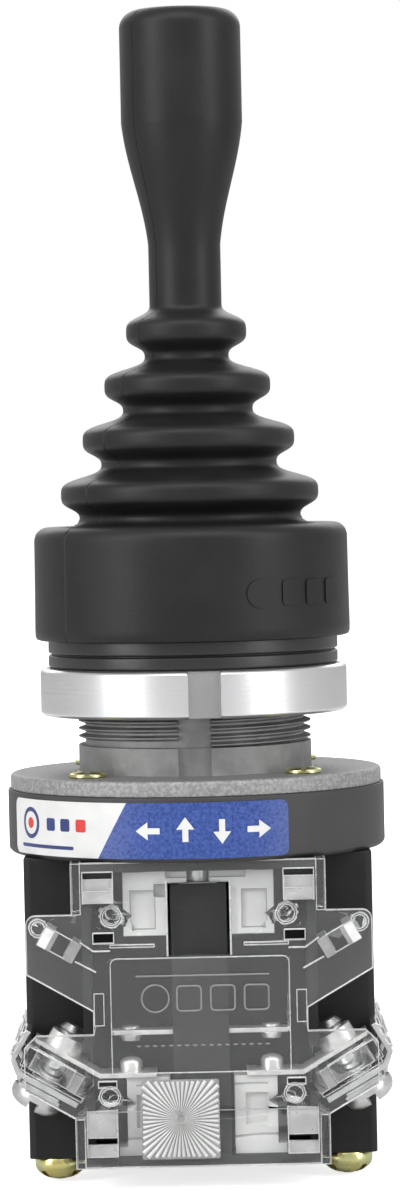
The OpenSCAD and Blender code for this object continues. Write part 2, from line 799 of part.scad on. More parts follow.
// one block: a middle wall between the long screws, with a cell on each side
module housing() {
    w = block_w / 2;
    e = block_edge_r;
    color([0.13, 0.13, 0.14]) difference() {
        translate([0, -core_y, 0]) union() {
            slab([-w + e, -core_t / 2, block_low], [w - e, core_t / 2, block_top]);
            slab([-w, -core_t / 2 + e, block_low], [w, core_t / 2 - e, block_top]);
            at_corners(w - e, core_t / 2 - e) rod(2 * e, block_low, block_top);
        }
        for (side = [-1, 1]) translate([side * long_screw_x, -core_y, 0])
            rod(long_screw_d + 0.1, block_low - 1, block_top + 1);
    }
    in_cell("front") cell_walls();
    in_cell("left") cell_walls();
}

module front_housing() { housing(); }
module rear_housing() { rotate([0, 0, 180]) housing(); }

// the fixed white guides under the terminal strips, with a flared foot
module carrier_guides() {
    half = carrier_w / 2;
    y = carrier_t / 2;
    foot = 1.1;
    color("white") in_all_cells() for (side = [0, 1]) mirror([side, 0, 0]) difference() {
        union() {
            slab([cheek_in, -y, guide_low], [half, y, strip_low]);
            slab([half - eps, -y, guide_low], [half + foot, y, guide_low + foot]);
        }
        slab([cheek_in + 1.4, -y - 1, guide_low + 3.4], [half - 1.2, 0.5 - y, strip_low - 2.2]);
        slab([cheek_in - 1, -y - 1, guide_low + 2], [half + 1, 0.25 - y, guide_low + 2.25]);
        slab([cheek_in - 1, -y - 1, strip_low - 1.2], [half - 1.2, 0.25 - y, strip_low - 0.95]);
        spring_notch(notch_down_z);
    }
}

// ---- covers ----

// right half of the cover's outline, from the top edge down to the bottom edge, and its mirror image
module cover_outline() {
    waist = cell_half - 1.3;
    rise = tan(slope);
    corner = 1.2;
    cut = 1.5;
    half = concat(
        [[0, block_top], [column, block_top], [column, wing_z]],
        arc(wing - corner, wing_z - corner, corner, 90, 0),
        [[wing, wing_low_z], [waist, wing_low_z - (wing - waist) * rise], [waist, low_wing_z]],
        [[low_wing - cut, low_wing_z], [low_wing, low_wing_z - cut], [low_wing, low_wing_low_z]],
        [[column, low_wing_low_z - (low_wing - column) * rise], [column, block_low], [0, block_low]]
    );
    for (side = [0, 1]) mirror([side, 0, 0]) polygon(half);
}

// holes where the cover's latches and probes are
module cover_windows() {
    for (side = [0, 1]) mirror([side, 0, 0]) {
        translate([latch_in, latch_z - latch_h]) square([latch_w, latch_h]);
        translate([latch_in, low_latch_z]) square([latch_w, low_latch_h]);
        translate([latch_in, notch_up_z - 3.2]) square([2.6, 1.3]);
        translate([latch_in, strip_low - 1]) square([2.3, 0.8]);
    }
}

// springy tongues that fill the latch windows, stepped, with a slot left open at one end
module cover_tongues() {
    gap = 0.1;
    x = latch_in + gap;
    end = latch_in + latch_w - gap;
    out = face_y - cover_t;
    step_z = latch_z - latch_step;
    low_step_z = low_latch_z + latch_step;
    slab_pair([x, out + 0.3, step_z], [end, face_y, latch_z - latch_slot]);
    slab_pair([x, out, latch_z - latch_h - eps], [end, face_y, step_z + eps]);
    slab_pair([x, out + 0.1, low_step_z], [end, face_y, low_latch_z + low_latch_h + eps]);
    slab_pair([x, out + 0.3, low_latch_z - eps], [end, face_y, low_step_z - latch_slot]);
}

// a slanted bar behind a wing, open through the middle
module terminal_bar(inner, outer, near) {
    depth = carrier_t / 2 + 0.6;
    difference() {
        slab([-inner, face_y - eps, -near - bar_t], [outer, depth, -near]);
        slab([bar_wall - inner, face_y + 0.7, -near - bar_t - 1], [outer - bar_wall, depth + 1, 1 - near]);
    }
}

module at_terminals(z) {
    for (side = [0, 1]) mirror([side, 0, 0])
        translate([terminal_x, 0, z]) rotate([0, -slope, 0]) children();
}

// a raised round rim on the back of the cover, at one place in the front view
module cover_rim(x, z, r) {
    for (side = [0, 1]) mirror([side, 0, 0]) translate([x, face_y, z]) rotate([-90, 0, 0])
        tube(2 * r, 2 * r - 0.5, -eps, 0.5);
}

module cover_panel() {
    r = 0.8;
    high = panel_z;
    low = strip_z + 0.2;
    plate_xz(face_y - cover_t - panel_t, face_y - cover_t + eps)
        polygon(concat(
            arc(panel_half - r, high - r, r, 0, 90), arc(r - panel_half, high - r, r, 90, 180),
            [[-panel_half, low], [panel_half, low]]
        ));
}

module outer_cover() {
    out = face_y - cover_t;
    rib_z = notch_up_z - 3.5;
    slot_z = bridge_low + 1.6;
    flange_far = -bar_near - bar_t - flange_t;
    color("gainsboro", 0.5) difference() {
        union() {
            plate_xz(out, face_y) difference() {
                cover_outline();
                cover_windows();
            }
            cover_tongues();
            cover_panel();
            slab_pair([cell_half + 0.1, face_y - eps, wing_z], [column, 2, block_top]);
            slab_pair([cell_half + 0.1, face_y - eps, block_low], [column, 2, block_low + 6]);
            slab_pair([cheek_in + 1.6, face_y - eps, rib_z - 0.3], [panel_half, face_y + 0.6, rib_z]);
            cover_rim(spring_x, notch_up_z, 1.3);
            cover_rim(spring_x + 0.6, notch_down_z + 1.2, 1.3);
            cover_rim(wing - 1.5, wing_z - 1.6, 1.1);
            at_terminals(terminal_z) {
                terminal_bar(bar_half, bar_half, bar_near);
                slab([-bar_half - 1.2, face_y - eps, flange_far],
                     [bar_half - 0.4, carrier_t / 2, flange_far + flange_t + eps]);
            }
            at_terminals(empty_terminal_z) terminal_bar(bar_half - 1, bar_half - 1.9, bar_near - 1.6);
        }
        at_terminals(terminal_z) rod(terminal_screw_d + 0.4, -terminal_reach, 0);
        slab_pair([panel_half + 0.9, out - 1, slot_z], [panel_half + 2.1, out + 0.3, slot_z + 4]);
    }
}

module cover_front() { in_cell("front") outer_cover(); }
module cover_rear() { in_cell("rear") outer_cover(); }

module inner_covers() {
    color("gainsboro", 0.5) for (name = ["left", "right"]) in_cell(name)
        plate_xz(face_y - cover_t, face_y) difference() {
            cover_outline();
            cover_windows();
        }
}

// ---- terminals ----

// a strip from the screw's slope to the fixed contact, folded from one piece, with a threaded boss
module terminal_strips() {
    inner = contact_x - 3.2;
    fold = terminal_x - (terminal_z - strip_z) / tan(slope);
    reach = 3.3;
    outer = terminal_x + reach;
    outer_z = terminal_z + reach * tan(slope);
    drop = strip_t / cos(slope);
    width = 2.6;
    color("gold") in_all_cells() for (side = [0, 1]) mirror([side, 0, 0]) difference() {
        union() {
            plate_xz(-width, width) polygon([
                [inner, strip_z], [fold, strip_z], [outer, outer_z],
                [outer, outer_z - drop], [fold, strip_z - drop], [fold, strip_low], [inner, strip_low]
            ]);
            translate([terminal_x, 0, terminal_z]) rotate([0, -slope, 0]) rod(boss_d, -strip_t / 2, boss_h);
        }
        translate([terminal_x, 0, terminal_z]) rotate([0, -slope, 0])
            rod(terminal_screw_d, -3, boss_h + 1);
    }
}

module fixed_contacts() {
    color("silver") in_all_cells() for (side = [-1, 1]) translate([side * contact_x, 0, strip_z])
        cylinder(d1 = contact_d, d2 = contact_d - 0.6, h = fixed_top - strip_z);
}

// slotted screws with a square washer under the head
module terminal_screws() {
    slot = 1.2;
    head_h = 2.2;
    washer = 2.9;
    washer_t = terminal_reach - saddle_near - saddle_t - 0.1;
    low = -terminal_reach - head_h;
    color("silver") in_all_cells() at_terminals(terminal_z) difference() {
        union() {
            rod(terminal_screw_d, -terminal_reach - eps, terminal_tail);
            slab([-washer, -washer, -terminal_reach - eps], [washer, washer, washer_t - terminal_reach]);
            rod(terminal_head_d - 1.6, low, low + 0.8 + eps);
            translate([0, 0, low]) cylinder(d1 = terminal_head_d - 1.6, d2 = terminal_head_d, h = 0.8);
            rod(terminal_head_d, low + 0.8, -terminal_reach);
        }
        slab([-slot / 2, -terminal_head_d, low - 1], [slot / 2, terminal_head_d, low + 1.2]);
    }
}

// clamps with an outer end turned up past the strip, ridged on the outside
module saddle_clamps() {
    half_y = 3.1;
    inner = 4.9;
    lip = 4.6;
    lip_t = 0.7;
    low = -saddle_near - saddle_t;
    color("silver") in_all_cells() at_terminals(terminal_z) difference() {
        union() {
            plate_xz(-half_y, half_y) polygon([
                [-inner, -saddle_near], [lip - 1.2, -saddle_near], [lip, 0.9 - saddle_near], [lip, 0.4],
                [lip + lip_t, 0.4], [lip + lip_t, low + 1.4], [lip - 0.9, low], [-inner, low]
            ]);
            for (ridge = [0:2]) translate([lip + lip_t, 0, -1.4 * ridge])
                slab([-eps, -half_y, -0.5], [0.35, half_y, 0]);
        }
        rod(terminal_screw_d + 0.4, -saddle_near - 3, 1);
    }
}

// ---- long screws ----

module long_screws() {
    crown = 0.8;
    r = long_head_d / 2;
    color([0.79, 0.75, 0.45]) at_corners(long_screw_x, core_y) difference() {
        union() {
            rod(long_screw_d, block_low - eps, web_low - 0.5);
            translate([0, 0, block_low]) rotate_extrude() polygon([
                [0, -long_head_h], [r - crown, -long_head_h], [r, crown - long_head_h], [r, 0], [0, 0]
            ]);
        }
        for (turn = [45, 135]) translate([0, 0, block_low - long_head_h]) rotate([0, 0, turn])
            slab([-0.6 * r, -0.45, -1], [0.6 * r, 0.45, 1.3]);
    }
}

threaded_collar();
flange_disc();
disc_screws();
base_ring();
pusher_guide();
gate_plate();
ring_nut();
bezel_ring();
boot_skirt();
boot_bellows();
grip();
lever_shaft();
lever_hub();
hub_pin();
actuator_plate();
plate_clip();
gimbal_ring();
gimbal_pins();
pusher_front();
pusher_rear();
pusher_left();
pusher_right();
carrier_front();
carrier_rear();
carrier_left();
carrier_right();
bridge_front();
bridge_rear();
bridge_left();
bridge_right();
moving_contacts_front();
moving_contacts_rear();
moving_contacts_left();
moving_contacts_right();
contact_spring_front();
contact_spring_rear();
contact_spring_left();
contact_spring_right();
return_springs();
corner_springs();
front_housing();
rear_housing();
cover_front();
cover_rear();
inner_covers();
carrier_guides();
terminal_strips();
fixed_contacts();
terminal_screws();
saddle_clamps();
long_screws();
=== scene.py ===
import json
import math

import bmesh
import bpy
from mathutils import Matrix, Vector


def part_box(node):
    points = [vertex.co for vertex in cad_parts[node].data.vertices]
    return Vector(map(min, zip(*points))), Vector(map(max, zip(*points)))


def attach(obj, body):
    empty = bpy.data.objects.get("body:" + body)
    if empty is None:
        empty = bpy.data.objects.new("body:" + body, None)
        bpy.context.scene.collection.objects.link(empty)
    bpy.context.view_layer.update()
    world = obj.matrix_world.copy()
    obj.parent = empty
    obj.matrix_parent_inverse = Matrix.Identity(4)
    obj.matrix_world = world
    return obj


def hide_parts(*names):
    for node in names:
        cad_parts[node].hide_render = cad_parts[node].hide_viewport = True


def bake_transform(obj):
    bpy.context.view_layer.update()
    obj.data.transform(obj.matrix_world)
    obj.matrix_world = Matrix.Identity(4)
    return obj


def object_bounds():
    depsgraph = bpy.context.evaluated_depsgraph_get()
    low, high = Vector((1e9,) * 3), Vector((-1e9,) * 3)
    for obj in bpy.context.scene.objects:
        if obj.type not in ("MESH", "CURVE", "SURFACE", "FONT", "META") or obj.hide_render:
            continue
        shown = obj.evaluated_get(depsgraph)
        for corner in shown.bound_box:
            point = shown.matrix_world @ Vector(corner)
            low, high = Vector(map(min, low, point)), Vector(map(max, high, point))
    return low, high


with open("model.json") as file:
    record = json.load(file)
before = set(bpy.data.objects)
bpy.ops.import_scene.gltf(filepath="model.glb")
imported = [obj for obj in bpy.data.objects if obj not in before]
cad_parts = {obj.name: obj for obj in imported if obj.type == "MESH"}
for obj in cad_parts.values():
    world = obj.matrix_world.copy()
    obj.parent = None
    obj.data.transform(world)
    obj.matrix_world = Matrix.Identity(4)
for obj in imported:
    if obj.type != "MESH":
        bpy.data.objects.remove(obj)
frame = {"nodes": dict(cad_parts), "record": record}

MM = 0.001
cad_low, cad_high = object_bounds()

# ---------------------------------------------------------------- sizes
# Lengths are in millimetres here and become metres as meshes are made.
CORE_R = 14.1
THREAD_R = 15.0
THREAD_LOW, THREAD_HIGH, THREAD_PITCH = 3.5, 13.4, 1.0
KEYWAY_HALF = 2.15
# radii between which the nut's cast notches give way to its turned rim, and the disc's top to its rim
NUT_RIM, DISC_RIM = (18.6, 18.9), (23.0, 23.8)
DISC_SCREWS_AT, LONG_SCREWS_AT = (13.6, 13), (18.25, 11)

# rubber boot and grip
SKIRT_R, SKIRT_LOW, SKIRT_TOP = 20.2, 17.0, 31.5
SKIRT_EDGE, SKIRT_BORE_R, SKIRT_SEAT = 1.8, 17.7, 30.0
FOLDS, FOLD_PITCH, CREST_LIFT, LAST_DROP = 4, 6.9, 3.1, 3.5
CREST_R, VALLEY_R, FOLD_STEP = 16.6, 14.26, 2.95
FIRST_VALLEY = SKIRT_TOP + 1
BELLOWS_TOP = FIRST_VALLEY + (FOLDS - 1) * FOLD_PITCH + CREST_LIFT + LAST_DROP
RUBBER = 1.1
NECK_R, NECK_H = 4.65, 7.7
TAPER_Z, TAPER_H = BELLOWS_TOP + NECK_H, 15.7
GRIP_R, GRIP_EDGE, GRIP_TOP = 7.8, 2.3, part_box("grip")[1].z / MM
SPLIT_FOLD = 1
SPLIT_Z = FIRST_VALLEY + SPLIT_FOLD * FOLD_PITCH
SEAM_TURN, SEAM_REACH, SEAM_DEPTH = math.radians(-52), math.radians(0.6), 0.13
SHAFT_R = 2.5

# base ring, contact block and clear covers. A cell's faces are given about its own axis, its front towards -y.
RING_R, RING_TOP, BLOCK_TOP = 24.25, -2.0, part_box("base_ring")[0].z / MM
BLOCK_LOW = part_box("front_housing")[0].z / MM
CELL_OUT, CELL_IN = 17.6, 4.4
FACE_Y = -3.4
COVER_T, PANEL_T, COVER_LIFT = 1.0, 0.4, 0.03
COVER_Y = FACE_Y - COVER_T
CARRIER_HALF = 9.4
NOTCH_UP, NOTCH_DOWN = BLOCK_TOP - 6.8, BLOCK_TOP - 30.5
SPRING_X, LOOP_R = CARRIER_HALF + 1.5, 0.8
SLOPE = math.radians(30)
TERMINAL_X = 17.4
STRIP_Z = BLOCK_TOP - 26.4
CONTACT_X, CONTACT_R, CONTACT_DOME, CONTACT_TOP = 8.8, 1.4, 0.75, BLOCK_TOP - 24.62
TERMINAL_Z = STRIP_Z + (TERMINAL_X - 12.6) * math.tan(SLOPE)
EMPTY_TERMINAL_Z = TERMINAL_Z + 14.5
HEAD_REACH = 6.2
LATCH_IN, LATCH_OUT = 10.6, 14.4
LATCH_UP = (BLOCK_TOP - 5.0, BLOCK_TOP - 1.1)
LATCH_DOWN = (BLOCK_LOW + 1.4, BLOCK_LOW + 7.0)
THIN_HALF, THIN_Z = 3.95, (-21.8, -12.4)

# angles above which an edge is sharp and above which it is rounded or drawn as a line, and below which it is flat
SHARP, COVER_SHARP, EDGE_FOLD, FLAT = (math.radians(a) for a in (35, 25, 38, 0.6))
MERGE = 0.0005
PRINT_T, FIELD_LIFT, FIELD_T, MARK_LIFT = 0.01, 0.01, 0.09, 0.1
MOTIF_SINK, MOTIF_T = 0.3, 0.52
FOIL_T, RAY_LOW, RAY_HIGH = 0.08, 0.075, 0.375

SLOT = {s["node"]: s["material_slot"] for s in frame["record"]["subparts"]}
OWNER = {n: b for b, names in frame["record"]["behaviour"]["bodies"].items() for n in names}

HALF_TURN = Matrix.Rotation(math.pi, 4, "Z")
CELLS = {
    "front": Matrix.Translation((0, -CELL_OUT * MM, 0)),
    "left": Matrix.Translation((0, -CELL_IN * MM, 0)) @ HALF_TURN,
    "right": Matrix.Translation((0, CELL_IN * MM, 0)),
    "rear": Matrix.Translation((0, CELL_OUT * MM, 0)) @ HALF_TURN,
}
OUTER_CELLS = ("front", "rear")


# ---------------------------------------------------------------- nodes

def feed(node, inputs):
    """Gives each of a node's inputs a value, or the socket that feeds it."""
    for key, value in inputs.items():
        if isinstance(value, bpy.types.NodeSocket):
            node.id_data.links.new(value, node.inputs[key])
        else:
            node.inputs[key].default_value = value
    return node


def add_node(tree, kind, inputs=None, **settings):
    """Adds a node, its settings first, because they decide which inputs it has. Returns what comes out of it."""
    node = tree.nodes.new(kind)
    for key, value in settings.items():
        setattr(node, key, value)
    return feed(node, inputs or {}).outputs


def new_group(name, kind, given, result):
    """A node group with named sockets, what comes in, and the node that takes what goes out."""
    tree = bpy.data.node_groups.new(name, kind)
    for way, sockets in (("INPUT", given), ("OUTPUT", result)):
        for label, type_name in sockets.items():
            tree.interface.new_socket(name=label, in_out=way, socket_type="NodeSocket" + type_name)
    return tree, tree.nodes.new("NodeGroupInput").outputs, tree.nodes.new("NodeGroupOutput")


def moulded_group():
    """Colour, roughness and normal that vary slowly over a surface, with a fine grain."""
    names = ("Patch Scale", "Patch From", "Patch To", "Grain Scale", "Grain Depth", "Rough Low", "Rough High")
    tree, given, out = new_group("surface_variation", "ShaderNodeTree",
                                 {"Base": "Color", "Worn": "Color", **dict.fromkeys(names, "Float")},
                                 {"Color": "Color", "Roughness": "Float", "Normal": "Vector"})
    place = add_node(tree, "ShaderNodeTexCoord")["Object"]
    patch = add_node(tree, "ShaderNodeTexNoise",
                     {"Detail": 5, "Vector": place, "Scale": given["Patch Scale"]})["Fac"]
    fit = add_node(tree, "ShaderNodeMapRange",
                   {"Value": patch, "From Min": given["Patch From"], "From Max": given["Patch To"]})
    mix = add_node(tree, "ShaderNodeMix",
                   {"Factor": fit["Result"], "A": given["Base"], "B": given["Worn"]}, data_type="RGBA")
    rough = add_node(tree, "ShaderNodeMapRange", {"Value": patch, "From Min": 0.3, "From Max": 0.7,
                                                  "To Min": given["Rough Low"], "To Max": given["Rough High"]})
    grain = add_node(tree, "ShaderNodeTexNoise", {"Detail": 3, "Vector": place, "Scale": given["Grain Scale"]})
    bump = add_node(tree, "ShaderNodeBump",
                    {"Distance": 0.0001, "Height": grain["Fac"], "Strength": given["Grain Depth"]})
    feed(out, {"Color": mix["Result"], "Roughness": rough["Result"], "Normal": bump["Normal"]})
    return tree


def radius_group():
    """How far a point lies from the lever's axis, as a mask between two radii, and its height."""
    tree, given, out = new_group("distance_from_axis", "ShaderNodeTree", {"From": "Float", "To": "Float"},
                                 {"Mask": "Float", "Radius": "Float", "Height": "Float"})
    place = add_node(tree, "ShaderNodeTexCoord")["Object"]
    parts = add_node(tree, "ShaderNodeSeparateXYZ", {0: place})
    flat = add_node(tree, "ShaderNodeCombineXYZ", {"X": parts["X"], "Y": parts["Y"]})
    length = add_node(tree, "ShaderNodeVectorMath", {0: flat[0]}, operation="LENGTH")["Value"]
    fit = add_node(tree, "ShaderNodeMapRange",
                   {"Value": length, "From Min": given["From"], "From Max": given["To"]})
    feed(out, {"Mask": fit["Result"], "Radius": length, "Height": parts["Z"]})
    return tree


VARIATION = moulded_group()
FROM_AXIS = radius_group()


# ---------------------------------------------------------------- materials

def rgba(tone):
    """An opaque colour from a grey level or from three values."""
    return (*tone, 1) if isinstance(tone, tuple) else (tone, tone, tone, 1)


def new_material(name):
    m = bpy.data.materials.new(name)
    m.use_nodes = True
    return m, m.node_tree, m.node_tree.nodes["Principled BSDF"]


def axis_mask(tree, start, end):
    """The mask that rises from one radius to another, in millimetres, with the radius and height."""
    return add_node(tree, "ShaderNodeGroup", {"From": start * MM, "To": end * MM}, node_tree=FROM_AXIS)


def finish_material(name, base, worn, rough, patch=(150, 0.45, 0.75), grain=(3000, 0.1), metal=0.0, **shader):
    """A material whose colour and roughness drift between two values, with a fine grain."""
    m, tree, bsdf = new_material(name)
    names = ("Rough Low", "Rough High", "Patch Scale", "Patch From", "Patch To", "Grain Scale", "Grain Depth")
    look = add_node(tree, "ShaderNodeGroup", {
        "Base": rgba(base), "Worn": rgba(worn), **dict(zip(names, (*rough, *patch, *grain))),
    }, node_tree=VARIATION)
    feed(bsdf, {"Base Color": look["Color"], "Roughness": look["Roughness"], "Normal": look["Normal"],
                "Metallic": metal})
    feed(bsdf, {key.replace("_", " "): value for key, value in shader.items()})
    return m


def turned_metal():
    """Bright rim with fine turning rings, and a cast face inside the notches."""
    m, tree, bsdf = new_material("turned_nut")
    axis = axis_mask(tree, *NUT_RIM)
    across = add_node(tree, "ShaderNodeCombineXYZ", {"X": axis["Height"], "Y": axis["Radius"]})
    rings = add_node(tree, "ShaderNodeTexNoise", {"Scale": 9000, "Detail": 2, "Vector": across[0]},
                     noise_dimensions="2D")
    place = add_node(tree, "ShaderNodeTexCoord")["Object"]
    cast = add_node(tree, "ShaderNodeTexNoise", {"Scale": 1600, "Detail": 6, "Vector": place})
    shallow = add_node(tree, "ShaderNodeMath", {0: rings["Fac"], 1: 0.16}, operation="MULTIPLY")
    height = add_node(tree, "ShaderNodeMix", {"Factor": axis["Mask"], "A": cast["Fac"], "B": shallow[0]},
                      data_type="FLOAT")
    bump = add_node(tree, "ShaderNodeBump", {"Distance": 0.00016, "Strength": 0.5, "Height": height["Result"]})
    tone = add_node(tree, "ShaderNodeMix", {"Factor": axis["Mask"], "A": rgba(0.36), "B": rgba((0.66, 0.66, 0.67))},
                    data_type="RGBA")
    rough = add_node(tree, "ShaderNodeMapRange", {"Value": axis["Mask"], "To Min": 0.62, "To Max": 0.3})
    feed(bsdf, {"Normal": bump["Normal"], "Base Color": tone["Result"], "Roughness": rough["Result"],
                "Metallic": 1.0})
    return m


def cast_disc():
    """Grey die-cast disc: grainy top, lighter rough rim."""
    m = finish_material("cast_disc", 0.115, 0.26, (0.5, 0.7), patch=(2300, 0.42, 0.64), grain=(1500, 0.8), metal=0.4)
    bsdf = m.node_tree.nodes["Principled BSDF"]
    source = bsdf.inputs["Base Color"].links[0].from_socket
    axis = axis_mask(m.node_tree, *DISC_RIM)
    bright = add_node(m.node_tree, "ShaderNodeMix", {"Factor": axis["Mask"], "A": source, "B": rgba(0.12)},
                      data_type="RGBA", blend_type="SCREEN")
    feed(bsdf, {"Base Color": bright["Result"]})
    return m


def clear_material(name, through, index):
    """Clear moulded plastic with a faint haze and flow marks, that lets nine tenths of the lamps' light in."""
    m = finish_material(name, (0.96, 0.965, 0.97), (0.92, 0.93, 0.935), (0.03, 0.06), patch=(90, 0.4, 0.7),
                        grain=(900, 0.02), Transmission_Weight=through, IOR=index)
    ray = add_node(m.node_tree, "ShaderNodeLightPath")
    alpha = add_node(m.node_tree, "ShaderNodeMath", {0: ray["Is Shadow Ray"], 1: -0.9, 2: 1.0},
                     operation="MULTIPLY_ADD")
    feed(m.node_tree.nodes["Principled BSDF"], {"Alpha": alpha[0]})
    return m


RUBBER_SKIN = finish_material("moulded_rubber", 0.007, 0.012, (0.42, 0.52), patch=(120, 0.4, 0.8),
                              grain=(2400, 0.22), Specular_IOR_Level=0.28)
BEZEL_PLASTIC = finish_material("bezel_plastic", 0.012, 0.02, (0.3, 0.42), grain=(2600, 0.12))
RING_PLASTIC = finish_material("base_ring_plastic", 0.026, 0.036, (0.5, 0.62), patch=(160, 0.4, 0.7),
                               grain=(2600, 0.3))
BLOCK_PLASTIC = finish_material("block_plastic", 0.008, 0.014, (0.55, 0.7), patch=(220, 0.4, 0.7),
                                grain=(1900, 0.25), Specular_IOR_Level=0.3)
COLLAR_ZINC = finish_material("collar_zinc", 0.21, 0.31, (0.5, 0.66), patch=(300, 0.4, 0.7), grain=(1800, 0.4),
                              metal=0.6)
DISC_ZINC = cast_disc()
NUT_METAL = turned_metal()
CARRIER_PLASTIC = finish_material("carrier_plastic", (0.5, 0.5, 0.49), (0.42, 0.42, 0.41), (0.28, 0.42),
                                  patch=(260, 0.5, 0.8), grain=(1500, 0.12), Subsurface_Weight=0.15,
                                  Subsurface_Scale=0.0006)
YELLOW_ZINC = finish_material("yellow_zinc", (0.60, 0.52, 0.20), (0.52, 0.55, 0.30), (0.2, 0.34),
                              patch=(420, 0.4, 0.65), grain=(2500, 0.12), metal=1.0)
BRIGHT_PLATE = finish_material("bright_plating", 0.56, 0.42, (0.28, 0.42), patch=(500, 0.45, 0.7),
                               grain=(2200, 0.15), metal=1.0)
SPRING_WIRE = finish_material("spring_wire", 0.75, 0.55, (0.15, 0.28), patch=(900, 0.4, 0.7), metal=1.0)
CONTACT_METAL = finish_material("contact_metal", (0.7, 0.69, 0.67), 0.5, (0.26, 0.44), patch=(600, 0.42, 0.66),
                                grain=(1600, 0.3), metal=0.75)
STEEL = finish_material("plain_steel", 0.5, 0.4, (0.25, 0.4), metal=1.0)
# The pressed rays keep the foil's bright colour; the flat foil between them is a darker copy, painted shade.
SEAL_FOIL, SEAL_PAINTED_SHADE = (
    finish_material(name, base, worn, (0.3, 0.42), patch=(700, 0.4, 0.7), grain=(3500, 0.1), metal=0.3)
    for name, base, worn in (("seal_foil", 0.9, 0.78), ("seal_painted_shade", 0.26, 0.34)))
LABEL_WHITE = finish_material("label_white", (0.68, 0.68, 0.67), 0.62, (0.3, 0.4), patch=(300, 0.4, 0.7),
                              grain=(4000, 0.05))
LABEL_BLUE = finish_material("label_blue", (0.016, 0.045, 0.22), (0.04, 0.085, 0.31), (0.25, 0.4),
                             patch=(2600, 0.42, 0.62), grain=(5200, 0.15))
LABEL_INK = finish_material("label_ink", (0.02, 0.03, 0.14), (0.03, 0.05, 0.2), (0.3, 0.4))
LABEL_RED = finish_material("label_red", (0.6, 0.03, 0.025), (0.5, 0.03, 0.03), (0.3, 0.4))
CLEAR = clear_material("clear_cover", 0.98, 1.32)
THIN_CLEAR = clear_material("thin_clear_cover", 1.0, 1.02)
FROSTED = finish_material("frosted_clear", 0.52, 0.42, (0.25, 0.4), patch=(500, 0.4, 0.7), grain=(1200, 0.3),
                          Transmission_Weight=0.25)
# Pale and grey plates on the clear bar end walls: painted light and painted shade.
BAR_END_PAINTED_LIGHT, BAR_SHADE = (
    finish_material(name, base, worn, (0.25, 0.4), patch=(500, 0.4, 0.7))
    for name, base, worn in (("painted_light_wall", 0.74, 0.6), ("shaded_wall", 0.3, 0.22)))
# Dark lines for the panel's plain motif, and along the carriers' edges as painted shade.
MARK_AND_EDGE_SHADE_LINE = finish_material("mark_and_edge_shade_line", 0.24, 0.18, (0.2, 0.35), patch=(400, 0.4, 0.7))
# Pale lines along the covers' edges, window sides and ledges: painted highlights.
EDGE_HIGHLIGHT_PAINT = finish_material("lit_edge", 0.75, 0.6, (0.2, 0.35), patch=(400, 0.4, 0.7), Transmission_Weight=0.35)


# ---------------------------------------------------------------- mesh helpers

def in_scene(name, data):
    obj = bpy.data.objects.new(name, data)
    bpy.context.scene.collection.objects.link(obj)
    return obj


def add_piece(name, mesh, body, slot, material, *replaced):
    """Adds a mesh as a piece of a body. A tuple of materials keeps the faces' own material numbers."""
    obj = in_scene(name, mesh)
    if isinstance(material, tuple):
        for one in material:
            mesh.materials.append(one)
    else:
        mesh.materials.clear()
        mesh.materials.append(material)
    if body:
        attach(obj, body)
    if replaced:
        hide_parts(*replaced)
    return obj


def as_mesh(bm, name):
    """A bmesh as a plain mesh. The bmesh is used up."""
    mesh = bpy.data.meshes.new(name)
    bm.to_mesh(mesh)
    bm.free()
    return mesh


def shade(mesh, angle):
    mesh.shade_smooth()
    mesh.set_sharp_from_angle(angle=angle)
    return mesh


def to_mesh(bm, name, smooth=SHARP, recalc=False):
    """Finishes a bmesh given in millimetres: merged, scaled to metres, and smooth below an angle."""
    bmesh.ops.remove_doubles(bm, verts=bm.verts, dist=MERGE)
    if recalc:
        bmesh.ops.recalc_face_normals(bm, faces=bm.faces)
    bmesh.ops.scale(bm, vec=(MM, MM, MM), verts=bm.verts)
    return shade(as_mesh(bm, name), smooth)


def cut_across(bm, point, normal):
    """Cuts every face along a plane and keeps both sides."""
    bmesh.ops.bisect_plane(bm, geom=bm.verts[:] + bm.edges[:] + bm.faces[:], plane_co=point, plane_no=normal)


def lathe(bm, profile, turns, offset=None):
    """Spins a closed profile of (radius, height) round the axis. offset(angle, radius, height) moves a point out."""
    rings = []
    for a in turns:
        ring = []
        for r, z in profile:
            out = offset(a, r, z) if offset and r > 0 else 0
            ring.append(bm.verts.new(((r + out) * math.sin(a), -(r + out) * math.cos(a), z)))
        rings.append(ring)
    count = len(profile)
    for i, ring in enumerate(rings):
        after = rings[(i + 1) % len(rings)]
        for j in range(count):
            k = (j + 1) % count
            if profile[j][0] == 0 and profile[k][0] == 0:
                continue
            face = [ring[j], after[j], after[k], ring[k]]
            if profile[j][0] == 0:
                face = [ring[j], after[k], ring[k]]
            elif profile[k][0] == 0:
                face = [ring[j], after[j], ring[k]]
            bm.faces.new(face)


def even_turns(count):
    return [2 * math.pi * i / count for i in range(count)]


def full_turn(count, extra=()):
    """Angles all the way round from straight ahead, with a few more beside each extra angle."""
    turns = {round(a, 6) for a in even_turns(count)}
    for a in extra:
        for d in (-0.9, -0.35, 0, 0.35, 0.9):
            turns.add(round((a + math.radians(d)) % (2 * math.pi), 6))
    return sorted(turns)


def box(bm, low, high, matrix=None):
    """A box between two corners, in millimetres."""
    low, high = Vector(low), Vector(high)
    place = Matrix.Translation((low + high) / 2) @ Matrix.Diagonal((*(high - low), 1))
    bmesh.ops.create_cube(bm, size=1, matrix=(matrix or Matrix.Identity(4)) @ place)


def in_mm(matrix):
    """A placing in metres as one in millimetres."""
    m = matrix.copy()
    m.translation = m.translation / MM
    return m


def baked(obj, *helpers):
    """The object's shape with its modifiers applied, as a plain mesh. The object and its helpers are removed."""
    bpy.context.view_layer.update()
    graph = bpy.context.evaluated_depsgraph_get()
    mesh = bpy.data.meshes.new_from_object(obj.evaluated_get(graph), preserve_all_data_layers=True, depsgraph=graph)
    for one in (obj, *helpers):
        bpy.data.objects.remove(one)
    return mesh


